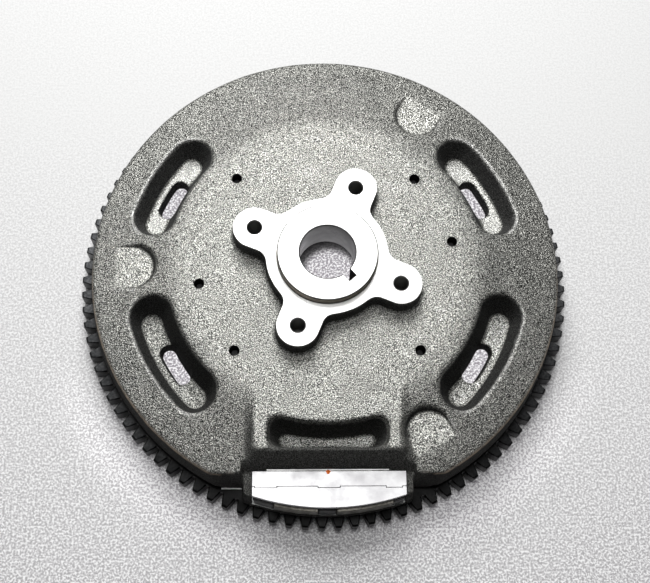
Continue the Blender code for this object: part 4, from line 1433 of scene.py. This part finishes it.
def floor_material():
    """Pale speckled floor with painted shade, dark under the wheel and darker towards -Y; clear
    from below.
    """
    mat = Nodes("pale_floor")
    speckle = mat.noise(scale=900.0, detail=2.0, rough=0.65)
    _, along, _ = mat.separate()
    # painted shade: the floor is darker and more speckled towards -Y
    front_tone = mat.ramp(speckle, (0.40, (0.42, 0.41, 0.42)), (0.50, (0.64, 0.63, 0.64)),
                          (0.60, 1.0))
    back_tone = mat.ramp(speckle, (0.36, (0.655, 0.655, 0.65)), (0.62, (0.74, 0.74, 0.735)))
    colour = mat.mix(mat.remap(along, -0.17, 0.10, 0.0, 1.0), front_tone, back_tone)
    # painted shade under the wheel
    shaded = mat.ramp(mat.radius(), (0.104, 1.0), (0.109, 0.0))
    colour = mat.mix(shaded, colour, (0.07, 0.068, 0.07))
    bump = mat.bump(speckle, strength=0.25, distance=0.0002)
    mat.finish(colour, metallic=0.0, rough=0.7, normal=bump, specular=0.25)
    # painted light: the floor glows under the skirt, through the bore and around the rim
    floor_glow(mat, speckle, along)
    # the floor runs on into a pale backdrop, for the camera only
    camera_ray = mat.add("LightPath").outputs["Is Camera Ray"]
    far = mat.times(mat.ramp(mat.radius(), (0.30, 0.0), (1.0, 1.0), ease=True), camera_ray)
    backdrop = mat.add("Emission")
    backdrop.inputs["Color"].default_value = rgba(0.80)
    pale = mix_shader(mat.tree, far, mat.bsdf.outputs[0], backdrop.outputs[0])
    from_below = mat.add("NewGeometry").outputs["Backfacing"]
    clear = mat.add("BsdfTransparent").outputs[0]
    mat.link(mix_shader(mat.tree, from_below, pale, clear), mat.out.inputs[0])
    return mat.material


def build_floor():
    half, z = 3000.0, -0.05
    corners = [(-half, -half, z), (half, -half, z), (half, half, z), (-half, half, z)]
    floor = new_object("floor", corners, [(0, 1, 2, 3)])
    dress(floor, floor_material())


# ---- light and camera -----------------------------------------------------------------------
def build_world(scene):
    """Faint cool fill light; the camera sees plain pale grey."""
    world = bpy.data.worlds.new("studio")
    scene.world = world
    world.use_nodes = True
    tree = world.node_tree
    fill = tree.nodes["Background"]
    fill.inputs["Color"].default_value = (0.97, 0.98, 1.0, 1.0)
    fill.inputs["Strength"].default_value = 0.06
    sky = tree.nodes.new("ShaderNodeBackground")
    sky.inputs["Color"].default_value = rgba(0.80)
    camera_ray = tree.nodes.new("ShaderNodeLightPath").outputs["Is Camera Ray"]
    either = mix_shader(tree, camera_ray, fill.outputs[0], sky.outputs[0])
    tree.links.new(either, tree.nodes["World Output"].inputs[0])


def softbox(scene, name, place, target, size, power):
    """Square area light aimed at the target."""
    data = bpy.data.lights.new(name, "AREA")
    data.shape = "RECTANGLE"
    data.size = data.size_y = size
    data.energy = power
    obj = bpy.data.objects.new(name, data)
    scene.collection.objects.link(obj)
    obj.location = place
    aim = Vector(target) - Vector(place)
    obj.rotation_euler = aim.to_track_quat("-Z", "Y").to_euler()


def build_camera(scene):
    """Camera above the wheel, tipped to look slightly towards +Y."""
    data = bpy.data.cameras.new("camera")
    data.lens = 64.64
    data.sensor_width = 36.0
    data.clip_start = 0.01
    data.clip_end = 20.0
    camera = bpy.data.objects.new("camera", data)
    scene.collection.objects.link(camera)
    # columns: the camera's right, up and backward directions, then its place
    camera.matrix_world = Matrix(((0.99954, -0.00014, -0.03033, -0.01815),
                                  (-0.00938, 0.94963, -0.31318, -0.1923),
                                  (0.02885, 0.31333, 0.94920, 0.5815),
                                  (0.0, 0.0, 0.0, 1.0)))
    scene.camera = camera


def build_studio():
    scene = bpy.context.scene
    scene.view_settings.view_transform = "Standard"
    scene.view_settings.look = "None"
    scene.view_settings.exposure = 0.0
    scene.view_settings.gamma = 1.0
    build_world(scene)
    softbox(scene, "key", place=(-0.06, 0.55, 0.80), target=(0.0, 0.02, 0.03), size=0.50,
            power=10.2)
    softbox(scene, "overhead", place=(-0.04, 0.06, 1.30), target=(0.0, 0.0, 0.03), size=0.34,
            power=4.4)
    softbox(scene, "under", place=(0.12, -0.20, -0.95), target=(0.0, 0.0, 0.0), size=0.6,
            power=12.0)
    build_camera(scene)


build_casting()
build_gear()
build_magnet_block()
build_paint_dot()
build_back_iron()
build_arc_magnets()
build_retainer()
build_screws()
build_floor()
build_studio()
